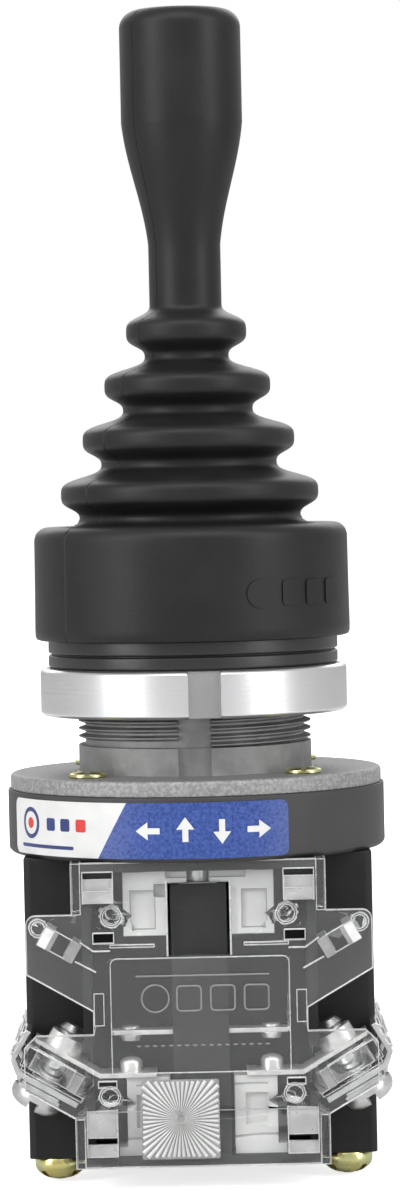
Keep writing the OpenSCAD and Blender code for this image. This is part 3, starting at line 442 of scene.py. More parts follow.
def welded(node, flat=True):
    """The triangles of a solid joined where they meet, and into flat faces if asked, in a bmesh."""
    bm = bmesh.new()
    bm.from_mesh(frame["nodes"][node].data)
    bmesh.ops.remove_doubles(bm, verts=bm.verts, dist=1e-6)
    if flat:
        bmesh.ops.dissolve_limit(bm, angle_limit=FLAT, verts=bm.verts, edges=bm.edges)
    return bm


def dressed(node, material, bevel=0.1, segments=2):
    """A copy of a solid with its edges rounded and its flat faces kept flat, in that solid's place."""
    bm = welded(node)
    bmesh.ops.triangulate(bm, faces=bm.faces[:])
    mesh = as_mesh(bm, node + "_shell")
    mesh.shade_smooth()
    obj = in_scene("draft", mesh)
    mod = obj.modifiers.new("edges", "BEVEL")
    mod.width = bevel * MM
    mod.segments = segments
    mod.limit_method = "ANGLE"
    mod.angle_limit = EDGE_FOLD
    mod.miter_outer = "MITER_ARC"
    mod.use_clamp_overlap = False
    obj.modifiers.new("flat", "WEIGHTED_NORMAL")
    return add_piece(node + "_shell", baked(obj), OWNER[node], SLOT[node], material, node)


# ---------------------------------------------------------------- rubber boot and grip

def eased(a, b, t):
    return a + (b - a) * (1 - math.cos(math.pi * t)) / 2


def lipped(a, b, t):
    """From groove to crest: an upright groove wall, a steep flank and a full, round lip, as moulded folds have."""
    low, high = t ** 2.1, (1 - t ** 0.8) ** 2.6
    return a + (b - a) * low / (low + high)


def fold_profile(first, last, steps=18):
    """Outer points of the bellows from one groove up to a later one, or to the neck."""
    points = []
    for i in range(first, last):
        valley, crest = VALLEY_R - i * FOLD_STEP, CREST_R - i * FOLD_STEP
        low = FIRST_VALLEY + i * FOLD_PITCH
        top = i == FOLDS - 1
        after = NECK_R if top else VALLEY_R - (i + 1) * FOLD_STEP
        drop = LAST_DROP if top else FOLD_PITCH - CREST_LIFT
        for k in range(steps):
            points.append((lipped(valley, crest, k / steps), low + CREST_LIFT * k / steps))
        for k in range(steps):
            points.append((lipped(after, crest, 1 - k / steps), low + CREST_LIFT + drop * k / steps))
    return points


def arc_points(cx, cz, r, start, end, steps=8):
    for i in range(steps + 1):
        a = math.radians(start + (end - start) * i / steps)
        yield cx + r * math.cos(a), cz + r * math.sin(a)


def seam_line(a, r, z):
    """A fine parting line on both sides of the mould."""
    half = min(abs((a - SEAM_TURN + math.pi) % (2 * math.pi) - math.pi),
               abs((a - SEAM_TURN) % (2 * math.pi) - math.pi))
    return -SEAM_DEPTH * max(0.0, 1 - half / SEAM_REACH) if r > 3 else 0


def make_boot():
    turns = full_turn(128, (SEAM_TURN % (2 * math.pi), (SEAM_TURN + math.pi) % (2 * math.pi)))
    skirt = [(SKIRT_BORE_R, SKIRT_LOW), (SKIRT_R - 0.45, SKIRT_LOW), (SKIRT_R - 0.1, SKIRT_LOW + 0.12),
             (SKIRT_R + 0.08, SKIRT_LOW + 0.5), (SKIRT_R + 0.1, SKIRT_LOW + 1.5), (SKIRT_R + 0.04, SKIRT_LOW + 6),
             (SKIRT_R, SKIRT_TOP - SKIRT_EDGE - 1)]
    skirt += arc_points(SKIRT_R - SKIRT_EDGE, SKIRT_TOP - SKIRT_EDGE, SKIRT_EDGE, 0, 90)
    skirt += [(VALLEY_R + 1.6, SKIRT_TOP), (VALLEY_R + 0.8, SKIRT_TOP + 0.12), (VALLEY_R + 0.25, SKIRT_TOP + 0.45)]
    outer = fold_profile(0, SPLIT_FOLD) + [(VALLEY_R - SPLIT_FOLD * FOLD_STEP, SPLIT_Z)]
    inner = [(r - RUBBER, z) for r, z in reversed(outer)]
    bm = bmesh.new()
    lathe(bm, skirt + outer + inner + [(VALLEY_R - RUBBER, SKIRT_SEAT), (SKIRT_BORE_R, SKIRT_SEAT)], turns, seam_line)
    lower = add_piece("rubber_boot", to_mesh(bm, "rubber_boot", recalc=True), None, "rubber", RUBBER_SKIN,
                      "boot_skirt", "boot_bellows")

    outer = fold_profile(SPLIT_FOLD, FOLDS) + [(NECK_R, BELLOWS_TOP)]
    grip = [(NECK_R, BELLOWS_TOP + NECK_H * k / 5) for k in range(1, 6)]
    for t in (k / 24 for k in range(1, 25)):
        grip.append((0.5 * eased(NECK_R, GRIP_R, t) + 0.5 * (NECK_R + (GRIP_R - NECK_R) * t), TAPER_Z + TAPER_H * t))
    grip += arc_points(GRIP_R - GRIP_EDGE, GRIP_TOP - GRIP_EDGE, GRIP_EDGE, 0, 90, 10)
    grip += [(4.0, GRIP_TOP), (2.0, GRIP_TOP), (0, GRIP_TOP)]
    inner = [(max(r - RUBBER, SHAFT_R + 0.2), z) for r, z in reversed(outer)]
    bm = bmesh.new()
    lathe(bm, outer + grip + [(0, BELLOWS_TOP)] + inner, turns, seam_line)
    upper = add_piece("rubber_grip", to_mesh(bm, "rubber_grip", recalc=True), None, "rubber", RUBBER_SKIN, "grip")
    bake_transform(lower)
    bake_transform(upper)


# ---------------------------------------------------------------- collar thread

def make_thread():
    """The ridges of the collar's thread, broken by the keyway."""
    bm = bmesh.new()
    gap = math.asin(KEYWAY_HALF / THREAD_R)
    steps, p = 96, THREAD_PITCH
    profile = ((CORE_R - 0.1, -0.42 * p), (THREAD_R - 0.02, -0.07 * p), (THREAD_R - 0.02, 0.07 * p),
               (CORE_R - 0.1, 0.42 * p))
    for turn in range(int((THREAD_HIGH - THREAD_LOW) / p)):
        rings = []
        for i in range(steps + 1):
            a = gap + (2 * math.pi - 2 * gap) * i / steps
            z = THREAD_LOW + (turn + a / (2 * math.pi)) * p + 0.3 * p
            rings.append([bm.verts.new((r * math.sin(a), -r * math.cos(a), z + dz)) for r, dz in profile])
        for a, b in zip(rings, rings[1:]):
            for j in range(4):
                k = (j + 1) % 4
                bm.faces.new((a[j], b[j], b[k], a[k]))
        bm.faces.new(rings[0])
        bm.faces.new(reversed(rings[-1]))
    add_piece("collar_thread", to_mesh(bm, "collar_thread", recalc=True), "base", "zinc", COLLAR_ZINC)


# ---------------------------------------------------------------- label, motifs and seal

def on_ring(u, v, lift, radius):
    """A flat label point, u millimetres round the ring from straight ahead and v up, laid on the ring."""
    r = radius + lift
    return Vector((r * math.sin(u / radius), -r * math.cos(u / radius), v))


def flat_shape(outline, lift, thickness, name, material, radius=RING_R, slot="black_plastic"):
    """A thin shape on a round face: the outline filled, cut into narrow strips and laid round it."""
    bm = bmesh.new()
    bm.faces.new([bm.verts.new((u, v, 0)) for u, v in outline])
    bmesh.ops.triangulate(bm, faces=bm.faces[:], ngon_method="EAR_CLIP")
    low, high = min(u for u, _ in outline), max(u for u, _ in outline)
    cuts = max(1, int((high - low) / 0.8))
    for i in range(1, cuts):
        cut_across(bm, (low + (high - low) * i / cuts, 0, 0), (1, 0, 0))
    done = bmesh.ops.extrude_face_region(bm, geom=bm.faces[:])
    for v in (g for g in done["geom"] if isinstance(g, bmesh.types.BMVert)):
        v.co.z = thickness
    for v in bm.verts:
        v.co = on_ring(v.co.x, v.co.y, lift + v.co.z, radius)
    add_piece(name, to_mesh(bm, name, recalc=True), "base", slot, material)


def rounded(low_u, low_v, high_u, high_v, r, corners="all", steps=5):
    """A rectangle's outline, counter-clockwise, with round corners at the chosen ends."""
    points = []
    for cu, cv, start, side in ((high_u - r, low_v + r, -90, "right"), (high_u - r, high_v - r, 0, "right"),
                                (low_u + r, high_v - r, 90, "left"), (low_u + r, low_v + r, 180, "left")):
        if corners in ("all", side):
            points += list(arc_points(cu, cv, r, start, start + 90, steps))
        else:
            points.append((high_u if side == "right" else low_u, cv - r if start in (-90, 180) else cv + r))
    return points


def arrow(cu, cv, size, turn):
    """The two shapes of a plain block arrow that points along turn."""
    c, s = math.cos(math.radians(turn)), math.sin(math.radians(turn))
    for shape in (((1.0, 0), (0.1, 0.66), (0.1, -0.66)), ((0.12, 0.22), (-0.8, 0.22), (-0.8, -0.22), (0.12, -0.22))):
        yield [(cu + size * (x * c - y * s), cv + size * (x * s + y * c)) for x, y in shape]


def disc_outline(cu, cv, r):
    return [(cu + r * math.cos(a), cv + r * math.sin(a)) for a in even_turns(28)]


def make_label():
    """A white and a blue field that meet on a slant, with a target mark, squares and four plain arrows."""
    left, right = (a * math.pi / 180 * RING_R for a in (-70, 28))
    low, high = BLOCK_TOP + 0.55, RING_TOP - 0.6
    split_low, split_high = (math.radians(a) * RING_R for a in (-30.4, -20.9))
    mid = (low + high) / 2
    white = [(split_low if (u == split_high and v == low) else u, v)
             for u, v in rounded(left, low, split_high, high, 1.0, "left")]
    flat_shape(white, FIELD_LIFT, FIELD_T, "label_white_field", LABEL_WHITE)
    blue = [(split_high if (u == split_low and v == high) else u, v)
            for u, v in rounded(split_low, low, right, high, 1.0, "right")]
    flat_shape(blue, FIELD_LIFT, FIELD_T, "label_blue_field", LABEL_BLUE)
    for i, turn in enumerate((180, 90, -90, 0)):
        for part, shape in zip(("head", "stem"), arrow(split_high + 2.9 + i * 4.55, mid, 1.7, turn)):
            flat_shape(shape, MARK_LIFT, 2 * PRINT_T, f"label_arrow_{i + 1}_{part}", LABEL_WHITE)
    for k, (word, r, ink) in enumerate((("mark", 2.0, LABEL_INK), ("field", 1.45, LABEL_WHITE),
                                        ("centre", 0.7, LABEL_RED))):
        outline = disc_outline(left + 4.6, mid + 0.5, r)
        flat_shape(outline, MARK_LIFT + k * PRINT_T, PRINT_T, "label_round_" + word, ink)
    for i, ink in enumerate((LABEL_INK, LABEL_INK, LABEL_RED)):
        u = left + 8.2 + i * 2.6
        square = rounded(u, mid - 0.3, u + 1.6, mid + 1.3, 0.3)
        flat_shape(square, MARK_LIFT, PRINT_T, f"label_square_{i + 1}", ink)
    rule = rounded(left + 2.2, low + 0.9, left + 13.0, low + 1.35, 0.2)
    flat_shape(rule, MARK_LIFT, PRINT_T, "label_rule", LABEL_INK)


def make_boot_motif():
    """A plain motif moulded proud on the boot's skirt: a round mark and three squares."""
    z, u = 22.9, math.radians(25) * SKIRT_R
    shapes = {"round": disc_outline(u, z, 1.8)}
    for i in range(3):
        low = u + 3.2 + i * 3.9
        shapes[i + 1] = rounded(low, z - 1.6, low + 3.0, z + 1.6, 0.5)
    for word, shape in shapes.items():
        flat_shape(shape, -MOTIF_SINK, MOTIF_T, f"boot_motif_{word}", RUBBER_SKIN, SKIRT_R, "rubber")


def make_seal():
    """A square of foil with rays pressed into it. The flat foil between the rays is darker: painted shade."""
    low, high = Vector((-7.6, 0, -47.1)), Vector((2.1, 0, -37.2))
    middle = (low + high) / 2
    half = (high.x - low.x) / 2
    face = -CELL_OUT + FACE_Y - COVER_T
    bm = bmesh.new()
    outline = rounded(low.x, low.z, high.x, high.z, 0.3)
    back = [bm.verts.new((x, face, z)) for x, z in outline]
    front = [bm.verts.new((x, face - FOIL_T, z)) for x, z in outline]
    bm.faces.new(back)
    # the flat front face takes the darker foil: painted shade between the rays
    bm.faces.new(reversed(front)).material_index = 1
    for i in range(len(outline)):
        j = (i + 1) % len(outline)
        bm.faces.new((front[i], front[j], back[j], back[i]))
    rays = 48
    wide = math.tan(math.pi / rays) * 0.62
    for i in range(rays):
        a = 2 * math.pi * (i + 0.5) / rays
        d = Vector((math.cos(a), 0, math.sin(a)))
        side = Vector((-d.z, 0, d.x))
        reach = min(half / max(abs(d.x), abs(d.z)), half * 1.36) - 0.15
        start, end = middle + d * 0.5, middle + d * reach
        points = [start + side * 0.5 * wide, end + side * reach * wide, end - side * reach * wide,
                  start - side * 0.5 * wide]
        base = [bm.verts.new((p.x, face - RAY_LOW, p.z)) for p in points]
        crest = [bm.verts.new((p.x, face - RAY_HIGH, p.z)) for p in (start + d * 0.1, end - d * 0.12)]
        for f in ((base[0], base[1], crest[1], crest[0]), (base[2], base[3], crest[0], crest[1]),
                  (base[1], base[2], crest[1]), (base[3], base[0], crest[0]), (base[3], base[2], base[1], base[0])):
            bm.faces.new(f)
    add_piece("foil_seal", to_mesh(bm, "foil_seal", smooth=math.radians(20), recalc=True), "base", "nickel",
              (SEAL_FOIL, SEAL_PAINTED_SHADE))


# ---------------------------------------------------------------- geometry nodes for wires and lines

def line_tree(name, sides, along_edges):
    """A round line along the curve it is given, or along a mesh's edges that fold by more than an angle."""
    tree, given, out = new_group(name, "GeometryNodeTree", {"Geometry": "Geometry", "Least Fold": "Float",
                                                            "Radius": "Float", "Finish": "Material"},
                                 {"Geometry": "Geometry"})
    path = given["Geometry"]
    if along_edges:
        angle = add_node(tree, "GeometryNodeInputMeshEdgeAngle")["Unsigned Angle"]
        folded = add_node(tree, "FunctionNodeCompare", {"A": angle, "B": given["Least Fold"]},
                          data_type="FLOAT", operation="GREATER_THAN")["Result"]
        path = add_node(tree, "GeometryNodeMeshToCurve", {"Mesh": path, "Selection": folded})["Curve"]
    ring = add_node(tree, "GeometryNodeCurvePrimitiveCircle", {"Resolution": sides, "Radius": given["Radius"]})
    line = add_node(tree, "GeometryNodeCurveToMesh",
                    {"Curve": path, "Profile Curve": ring["Curve"], "Fill Caps": True})["Mesh"]
    if not along_edges:
        line = add_node(tree, "GeometryNodeSetShadeSmooth", {"Geometry": line})["Geometry"]
    paint = add_node(tree, "GeometryNodeSetMaterial", {"Geometry": line, "Material": given["Finish"]})
    feed(out, {"Geometry": paint["Geometry"]})
    return tree, {item.name: item.identifier for item in tree.interface.items_tree if item.in_out == "INPUT"}


ROUND_WIRE = line_tree("round_wire", 10, False)
EDGE_LINES = line_tree("edge_lines", 6, True)


def line_mesh(data, kind, radius, material):
    """The lines along a curve's paths or a mesh's folded edges, in one mesh."""
    tree, inputs = kind
    draft = in_scene("line_draft", data)
    mod = draft.modifiers.new("lines", "NODES")
    mod.node_group = tree
    mod[inputs["Least Fold"]] = EDGE_FOLD
    mod[inputs["Radius"]] = radius * MM
    mod[inputs["Finish"]] = material
    return baked(draft)


def wire_mesh(paths, radius, material):
    """Each path of millimetre points swept as a round wire, all in one mesh."""
    curve = bpy.data.curves.new("wire_path", "CURVE")
    curve.dimensions = "3D"
    for path in paths:
        spline = curve.splines.new("POLY")
        spline.points.add(len(path) - 1)
        for point, p in zip(spline.points, path):
            point.co = (*(Vector(p) * MM), 1)
    return line_mesh(curve, ROUND_WIRE, radius, material)


def draw_edges(node, mesh, thick, material):
    """Thin lines along the sharp edges of a piece, that move with it: painted highlights or painted shade, by their
    material.
    """
    add_piece(node + "_edges", line_mesh(mesh, EDGE_LINES, thick, material), OWNER[node], SLOT[node], material)


def make_corner_springs():
    """Small wire springs: a coil in each corner pocket, and two legs that follow the carrier's notch."""
    wire, turns, steps = 0.17, 2.5, 24
    count = int(turns * steps)
    for cell, place in CELLS.items():
        for side, word in ((-1, "a"), (1, "b")):
            paths = []
            for z in (NOTCH_UP, NOTCH_DOWN):
                centre = Vector((side * SPRING_X, 0, z))
                notch = side * (CARRIER_HALF - 0.65)
                path = [Vector((notch, -0.6, z - 0.1)), Vector((notch + side * 0.5, -0.75, z + 0.15))]
                for i in range(2, count - 1):
                    a = math.pi * (0.75 + 2 * i / steps)
                    path.append(centre + Vector((side * math.cos(a) * LOOP_R, -0.9 + 1.8 * i / count,
                                                 math.sin(a) * LOOP_R)))
                path += [Vector((notch + side * 0.5, 0.75, z - 0.15)), Vector((notch, 0.6, z + 0.1))]
                paths.append([in_mm(place) @ p for p in path])
            names = ("corner_springs",) if (cell, side) == ("front", -1) else ()
            obj = add_piece(f"corner_springs_{cell}_{word}", wire_mesh(paths, wire, SPRING_WIRE), None,
                            "spring_steel", SPRING_WIRE, *names)
            ends = [in_mm(place) @ Vector((side * x, 0, NOTCH_UP)) * MM
                    for x in (SPRING_X - LOOP_R, CARRIER_HALF - 0.2)]
            tuple(ends[0])
            tuple(ends[1])
            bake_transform(obj)


# ---------------------------------------------------------------- clear covers

def loop(outline, y):
    """A closed path of points in the front plane at a depth."""
    points = [Vector((u, y, v)) for u, v in outline]
    return points + [points[0]]


def make_cover_lines():
    """Lines in the outer covers: a plain motif in the panel, and painted highlights along the sides of its clear
    window and along ledges beside the empty terminals."""
    panel_y, back_y = COVER_Y - PANEL_T - COVER_LIFT, FACE_Y - 0.1
    marks = [loop(disc_outline(-5.6, -27.0, 1.7), panel_y)]
    marks += [loop(rounded(x, -28.6, x + 3.0, -25.5, 0.5), panel_y) for x in (-2.9, 1.3, 5.5)]
    marks += [[Vector((x, panel_y, -32.9)), Vector((x + 0.5, panel_y, -32.9))] for x in range(-8, 9)]
    marks += [[Vector((-8.0, panel_y, -24.2)), Vector((8.6, panel_y, -24.2))]]
    ledges = []
    for side in (-1, 1):
        ledges.append([Vector((side * THIN_HALF, COVER_Y - COVER_LIFT, z)) for z in THIN_Z])
        for path in (((15.5, -22.3), (12.9, -23.7)), ((14.9, -19.9), (13.2, -21.1), (11.1, -21.1))):
            ledges.append([Vector((side * x, back_y, z)) for x, z in path])
    for cell in OUTER_CELLS:
        for word, paths, thick, material in (("marks", marks, 0.11, MARK_AND_EDGE_SHADE_LINE),
                                             ("ledges", ledges, 0.12, EDGE_HIGHLIGHT_PAINT)):
            placed = [[in_mm(CELLS[cell]) @ p for p in path] for path in paths]
            add_piece(f"cover_{word}_{cell}", wire_mesh(placed, thick, material), "base", "clear_plastic", material)


def in_bar(p, z, walls, near, far):
    """Whether a point lies in one of the end walls of a slanted bar."""
    q = Matrix.Rotation(SLOPE, 4, "Y") @ (Vector((abs(p.x), p.y, p.z)) - Vector((TERMINAL_X, 0, z)))
    return any(low < q.x < high for low, high in walls) and near < -q.z < far and p.y > FACE_Y + 0.05


def is_frosted(p):
    """Whether a point of a cover, in its cell, lies on a latch tongue or in a bar's end wall."""
    on_tongue = (LATCH_IN < abs(p.x) < LATCH_OUT and p.y < FACE_Y + 0.05
                 and (LATCH_UP[0] < p.z < LATCH_UP[1] or LATCH_DOWN[0] < p.z < LATCH_DOWN[1]))
    return (on_tongue or in_bar(p, EMPTY_TERMINAL_Z, ((0.75, 2.1), (-3.0, -1.6)), -0.5, 2.2)
            or in_bar(p, TERMINAL_Z, ((-4.0, -2.6),), 1.1, 3.8))


def clear_cover(node, cell):
    """A cover with its own shape: frosted latches and bar ends, a thin clear window, and painted highlight lines
    along its edges.
    """
    to_cell = in_mm(CELLS[cell]).inverted()
    bm = welded(node, flat=False)
    for z in (LATCH_UP[0], LATCH_DOWN[1], *THIN_Z):
        cut_across(bm, (0, 0, z * MM), (0, 0, 1))
    for x in (THIN_HALF, -THIN_HALF):
        cut_across(bm, (x * MM, 0, 0), (1, 0, 0))
    for face in bm.faces:
        p = to_cell @ (face.calc_center_median() / MM)
        thin = abs(p.x) < THIN_HALF and THIN_Z[0] < p.z < THIN_Z[1] and p.y < FACE_Y + 0.1
        face.material_index = 2 if thin else int(is_frosted(p))
    obj = in_scene("draft", shade(as_mesh(bm, node + "_shell"), COVER_SHARP))
    obj.modifiers.new("flat", "WEIGHTED_NORMAL").keep_sharp = True
    mesh = baked(obj)
    mesh.transform(Matrix.Translation(CELLS[cell].to_3x3() @ Vector((0, -COVER_LIFT * MM, 0))))
    add_piece(node + "_shell", mesh, OWNER[node], SLOT[node], (CLEAR, FROSTED, THIN_CLEAR), node)
    # pale lines along the cover's sharp edges: painted highlights
    draw_edges(node, mesh.copy(), 0.06, EDGE_HIGHLIGHT_PAINT)


def paint_bar_end_light_and_shade():
    """Plates just in front of the outer covers where the thick end walls of the slanted bars show: one wall of each
    empty terminal's bar is a pale plate of painted light, the other walls grey plates of painted shade.
    """
    ends = ((EMPTY_TERMINAL_Z, 0.85, 2.0, -0.4, 2.1), (EMPTY_TERMINAL_Z, -2.9, -1.75, -0.4, 2.1),
            (TERMINAL_Z, -3.85, -2.75, 1.25, 3.65), (EMPTY_TERMINAL_Z, 0.25, 0.8, -0.4, 2.1))
    for cell in OUTER_CELLS:
        bm = bmesh.new()
        for k, (z, low, high, near, far) in enumerate(ends):
            for side in (1, -1):
                place = (in_mm(CELLS[cell]) @ Matrix.Translation((side * TERMINAL_X, 0, z))
                         @ Matrix.Rotation(-SLOPE * side, 4, "Y"))
                a, b = sorted((side * low, side * high))
                before = len(bm.faces)
                box(bm, (a, COVER_Y - 0.09, -far), (b, COVER_Y - 0.05, -near), place)
                bm.faces.ensure_lookup_table()
                for face in bm.faces[before:]:
                    # the first wall listed gets painted light, the rest painted shade
                    face.material_index = int(k > 0)
        node, name = "cover_" + cell, "bar_end_light_and_shade_" + cell
        add_piece(name, to_mesh(bm, name), OWNER[node], SLOT[node], (BAR_END_PAINTED_LIGHT, BAR_SHADE))


# ---------------------------------------------------------------- screws and contacts

def terminal_places(z):
    """The placing of each terminal in millimetres: local +z runs up the screw, away from its head."""
    for place in CELLS.values():
        for side in (1, -1):
            turn = Matrix.Rotation(-SLOPE * side, 4, "Y")
            yield in_mm(place) @ Matrix.Translation((side * TERMINAL_X, 0, z)) @ turn


def screw_profile(shank, pitch, low, high):
    """Zigzag outline of a threaded shank, from low up to high."""
    points = []
    z = low
    while z + pitch <= high - 0.4:
        points += [(shank - 0.3, z), (shank, z + pitch * 0.5)]
        z += pitch
    return points + [(shank - 0.24, z), (shank - 0.5, high)]


def slotted_screw(profile, slot_turns, slot_half, slot_floor):
    """A screw spun from its profile about z, its head towards -z, with slots cut across the head."""
    bm = bmesh.new()
    lathe(bm, profile, even_turns(48))
    bmesh.ops.remove_doubles(bm, verts=bm.verts, dist=MERGE)
    bmesh.ops.recalc_face_normals(bm, faces=bm.faces)
    screw = in_scene("screw_draft", as_mesh(bm, "one_screw"))
    cutters = []
    for turn in slot_turns:
        bm = bmesh.new()
        box(bm, (-slot_half, -10, slot_floor - 10), (slot_half, 10, slot_floor),
            Matrix.Rotation(math.radians(turn), 4, "Z"))
        cutters.append(in_scene("slot_cutter", as_mesh(bm, "slot_cutter")))
        mod = screw.modifiers.new("slot", "BOOLEAN")
        mod.object = cutters[-1]
        mod.solver = "EXACT"
    return baked(screw, *cutters)


def add_copies(bm, mesh, places):
    for place in places:
        one = mesh.copy()
        one.transform(place)
        bm.from_mesh(one)
        bpy.data.meshes.remove(one)


def at_corners(x, y, z, turn=0):
    return [Matrix.Translation((i * x, j * y, z)) @ Matrix.Rotation(turn, 4, "X") for i in (-1, 1) for j in (-1, 1)]


def make_terminal_screws():
    head, top = 3.4, -HEAD_REACH - 2.2
    profile = [(0, top - 0.1), (1.2, top - 0.07), (2.2, top + 0.1), (2.9, top + 0.5), (3.28, top + 1.1),
               (head, top + 1.7), (head - 0.05, -HEAD_REACH - 0.05), (1.5, -HEAD_REACH)]
    profile += screw_profile(1.72, 0.75, -HEAD_REACH + 0.2, 3.4) + [(0, 3.4)]
    bm = bmesh.new()
    places = list(terminal_places(TERMINAL_Z))
    add_copies(bm, slotted_screw(profile, (0,), 0.6, top + 1.25), places)
    for place in places:
        for half, low, high in ((2.85, 0, 0.45), (2.55, 0.4, 0.85)):
            box(bm, (-half, -half, low - HEAD_REACH), (half, half, high - HEAD_REACH), place)
    add_piece("terminal_screw_set", to_mesh(bm, "terminal_screw_set"), "base", "nickel", BRIGHT_PLATE,
              "terminal_screws")


def add_yellow_screws(name, node, screw, places):
    bm = bmesh.new()
    add_copies(bm, screw, places)
    add_piece(name, to_mesh(bm, name), OWNER[node], SLOT[node], YELLOW_ZINC, node)


def make_yellow_screws():
    """The four slotted screws on the disc, and the four long screws with domed, cross-slotted heads."""
    dome = [(2.3 * math.sin(a * math.pi / 16), -0.42 - 0.4 * math.cos(a * math.pi / 16)) for a in range(9)]
    profile = dome + [(2.3, -0.1), (2.15, 0), (1.25, 0), (1.25, 5.3), (0, 5.3)]
    add_yellow_screws("disc_screw_set", "disc_screws", slotted_screw(profile, (0,), 0.34, -0.4),
                      at_corners(*DISC_SCREWS_AT, 0, math.pi))
    r = 3.15
    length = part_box("long_screws")[1].z / MM - BLOCK_LOW
    dome = [(r * math.sin(a * math.pi / 20), -1.0 - 1.9 * math.cos(a * math.pi / 20)) for a in range(11)]
    profile = dome + [(r, -0.25), (r - 0.15, 0), (1.95, 0), (1.95, length - 0.3), (1.65, length), (0, length)]
    add_yellow_screws("long_screw_set", "long_screws", slotted_screw(profile, (45, 135), 0.45, -1.6),
                      at_corners(*LONG_SCREWS_AT, BLOCK_LOW))


def make_contacts():
    """Domed contact rivets on the strips."""
    one = bmesh.new()
    dome = [(CONTACT_R * math.cos(a * math.pi / 16), CONTACT_TOP - CONTACT_DOME * (1 - math.sin(a * math.pi / 16)))
            for a in range(8)]
    lathe(one, [(0, STRIP_Z), (CONTACT_R, STRIP_Z)] + dome + [(0, CONTACT_TOP)], even_turns(32))
    bm = bmesh.new()
    add_copies(bm, as_mesh(one, "one_contact"), [in_mm(place) @ Matrix.Translation((side * CONTACT_X, 0, 0))
                                                 for place in CELLS.values() for side in (-1, 1)])
    add_piece("fixed_contact_rivets", to_mesh(bm, "fixed_contact_rivets", recalc=True), "base", "contact_metal",
              CONTACT_METAL, "fixed_contacts")


# ---------------------------------------------------------------- solids that keep their own shape

def dress_solids():
    for node, material, bevel in (
            ("threaded_collar", COLLAR_ZINC, 0.1), ("flange_disc", DISC_ZINC, 0.18),
            ("base_ring", RING_PLASTIC, 0.18), ("bezel_ring", BEZEL_PLASTIC, 0.1), ("ring_nut", NUT_METAL, 0.12),
            ("front_housing", BLOCK_PLASTIC, 0.08), ("rear_housing", BLOCK_PLASTIC, 0.08),
            ("carrier_guides", CARRIER_PLASTIC, 0.08), ("terminal_strips", CONTACT_METAL, 0.05),
            ("saddle_clamps", BRIGHT_PLATE, 0.12)):
        dressed(node, material, bevel)
    for cell in OUTER_CELLS:
        clear_cover("cover_" + cell, cell)
    for way in ("front", "rear", "left", "right"):
        dressed(f"carrier_{way}", CARRIER_PLASTIC, 0.03)
        # dark lines along the carriers' sharp edges: painted shade
        draw_edges(f"carrier_{way}", as_mesh(welded(f"carrier_{way}"), "carrier_outline"), 0.05, MARK_AND_EDGE_SHADE_LINE)
        dressed(f"bridge_{way}", CONTACT_METAL, 0.08)
        dressed(f"moving_contacts_{way}", CONTACT_METAL, 0.15, 3)
        dressed(f"pusher_{way}", STEEL, 0.06)
    plain = {"inner_covers": CLEAR, "pusher_guide": CARRIER_PLASTIC, "return_springs": SPRING_WIRE}
    plain.update({f"contact_spring_{way}": SPRING_WIRE for way in ("front", "rear", "left", "right")})
    plain.update(dict.fromkeys(("gate_plate", "gimbal_pins", "gimbal_ring", "lever_shaft", "lever_hub", "hub_pin",
                                "actuator_plate", "plate_clip"), STEEL))
    for node, material in plain.items():
        mesh = frame["nodes"][node].data
        mesh.materials.clear()
        mesh.materials.append(material)


# ---------------------------------------------------------------- stage, lamps and camera

FLOOR_HALF = 6.0
FLOOR_GLOW, GLOW_NEAR, GLOW_FAR = 0.76, 0.12, 0.7
STUDIO_LIGHT = 0.36
MIRRORED_LIGHT = 0.58
LAMP_AIM = Vector((0, 0, 0.02))
EYE, LENS, PITCH, ROLL = (0.00105, -0.542, 0.0378), 84.6348, math.radians(1.64), math.radians(-1.25)


def make_floor():
    """A pale floor that glows towards the camera, more so further out, so that its far part turns white."""
    floor_z = cad_low.z - 0.0002
    mesh = bpy.data.meshes.new("floor")
    corners = [(x * FLOOR_HALF, y * FLOOR_HALF, floor_z) for x, y in ((-1, -1), (1, -1), (1, 1), (-1, 1))]
    mesh.from_pydata(corners, [], [(0, 1, 2, 3)])
    floor = in_scene("floor", mesh)
    m, tree, bsdf = new_material("pale_floor")
    ray = add_node(tree, "ShaderNodeLightPath")
    place = add_node(tree, "ShaderNodeNewGeometry")["Position"]
    away = add_node(tree, "ShaderNodeVectorMath", {0: place}, operation="LENGTH")["Value"]
    fade = add_node(tree, "ShaderNodeMapRange", {
        "Value": away, "From Min": GLOW_NEAR, "From Max": GLOW_FAR, "To Min": FLOOR_GLOW, "To Max": 1.0,
    }, interpolation_type="SMOOTHSTEP")
    glow = add_node(tree, "ShaderNodeMath", {0: ray["Is Camera Ray"], 1: fade["Result"]}, operation="MULTIPLY")
    feed(bsdf, {"Base Color": rgba(0.85), "Roughness": 0.9, "Specular IOR Level": 0.0,
                "Emission Color": rgba(1.0), "Emission Strength": glow[0]})
    mesh.materials.append(m)


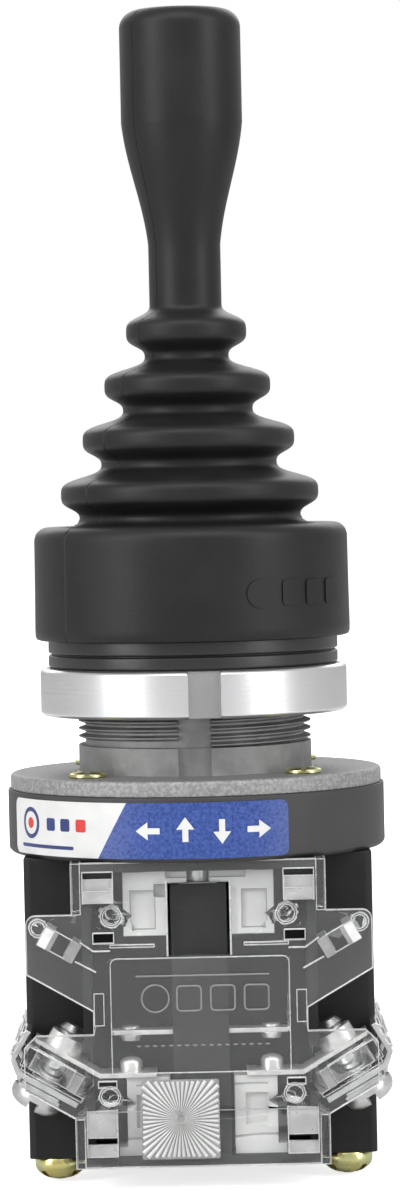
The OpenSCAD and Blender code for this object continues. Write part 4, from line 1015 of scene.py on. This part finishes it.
def make_surroundings():
    """White where it is seen straight or through something clear, dimmer in mirrored light, and dim as light."""
    world = bpy.data.worlds.new("studio")
    bpy.context.scene.world = world
    world.use_nodes = True
    tree = world.node_tree
    path = add_node(tree, "ShaderNodeLightPath")
    seen = add_node(tree, "ShaderNodeMath", {0: path["Is Camera Ray"], 1: path["Is Transmission Ray"]},
                    operation="MAXIMUM")
    mirrored = add_node(tree, "ShaderNodeMath", {0: path["Is Glossy Ray"], 1: MIRRORED_LIGHT}, operation="MULTIPLY")
    bright = add_node(tree, "ShaderNodeMath", {0: seen[0], 1: mirrored[0]}, operation="MAXIMUM")
    level = add_node(tree, "ShaderNodeMapRange", {"Value": bright[0], "To Min": STUDIO_LIGHT, "To Max": 1.0})
    feed(tree.nodes["Background"], {"Color": rgba(1.0), "Strength": level["Result"]})


def make_lamps():
    for name, place, size, watts in (("soft_left", (-0.75, -0.55, 0.35), (0.35, 0.9), 6),
                                     ("soft_right", (0.75, -0.5, 0.35), (0.3, 0.9), 4.5),
                                     ("top_front", (0.0, -0.5, 0.75), (0.8, 0.4), 4),
                                     ("behind", (0.0, 0.8, 0.5), (1.0, 0.5), 4)):
        light = bpy.data.lights.new(name, "AREA")
        light.shape = "RECTANGLE"
        light.size, light.size_y = size
        light.energy = watts
        obj = in_scene(name, light)
        obj.location = place
        obj.rotation_euler = (LAMP_AIM - Vector(place)).to_track_quat("-Z", "Y").to_euler()


def make_camera():
    """Looks along +Y from a little above the collar, tipped and rolled a degree or two."""
    cam = bpy.data.cameras.new("camera")
    cam.sensor_fit = "VERTICAL"
    cam.sensor_height = 24
    cam.lens = LENS
    cam.clip_start = 0.01
    obj = in_scene("camera", cam)
    obj.location = EYE
    obj.rotation_euler = (Matrix.Rotation(math.pi / 2 - PITCH, 4, "X") @ Matrix.Rotation(ROLL, 4, "Z")).to_euler()
    bpy.context.scene.camera = obj
    bpy.context.scene.view_settings.view_transform = "Standard"


make_floor()
make_surroundings()
make_lamps()
make_camera()
make_boot()
make_thread()
make_label()
make_boot_motif()
make_cover_lines()
paint_bar_end_light_and_shade()
make_seal()
make_corner_springs()
make_terminal_screws()
make_yellow_screws()
make_contacts()
dress_solids()
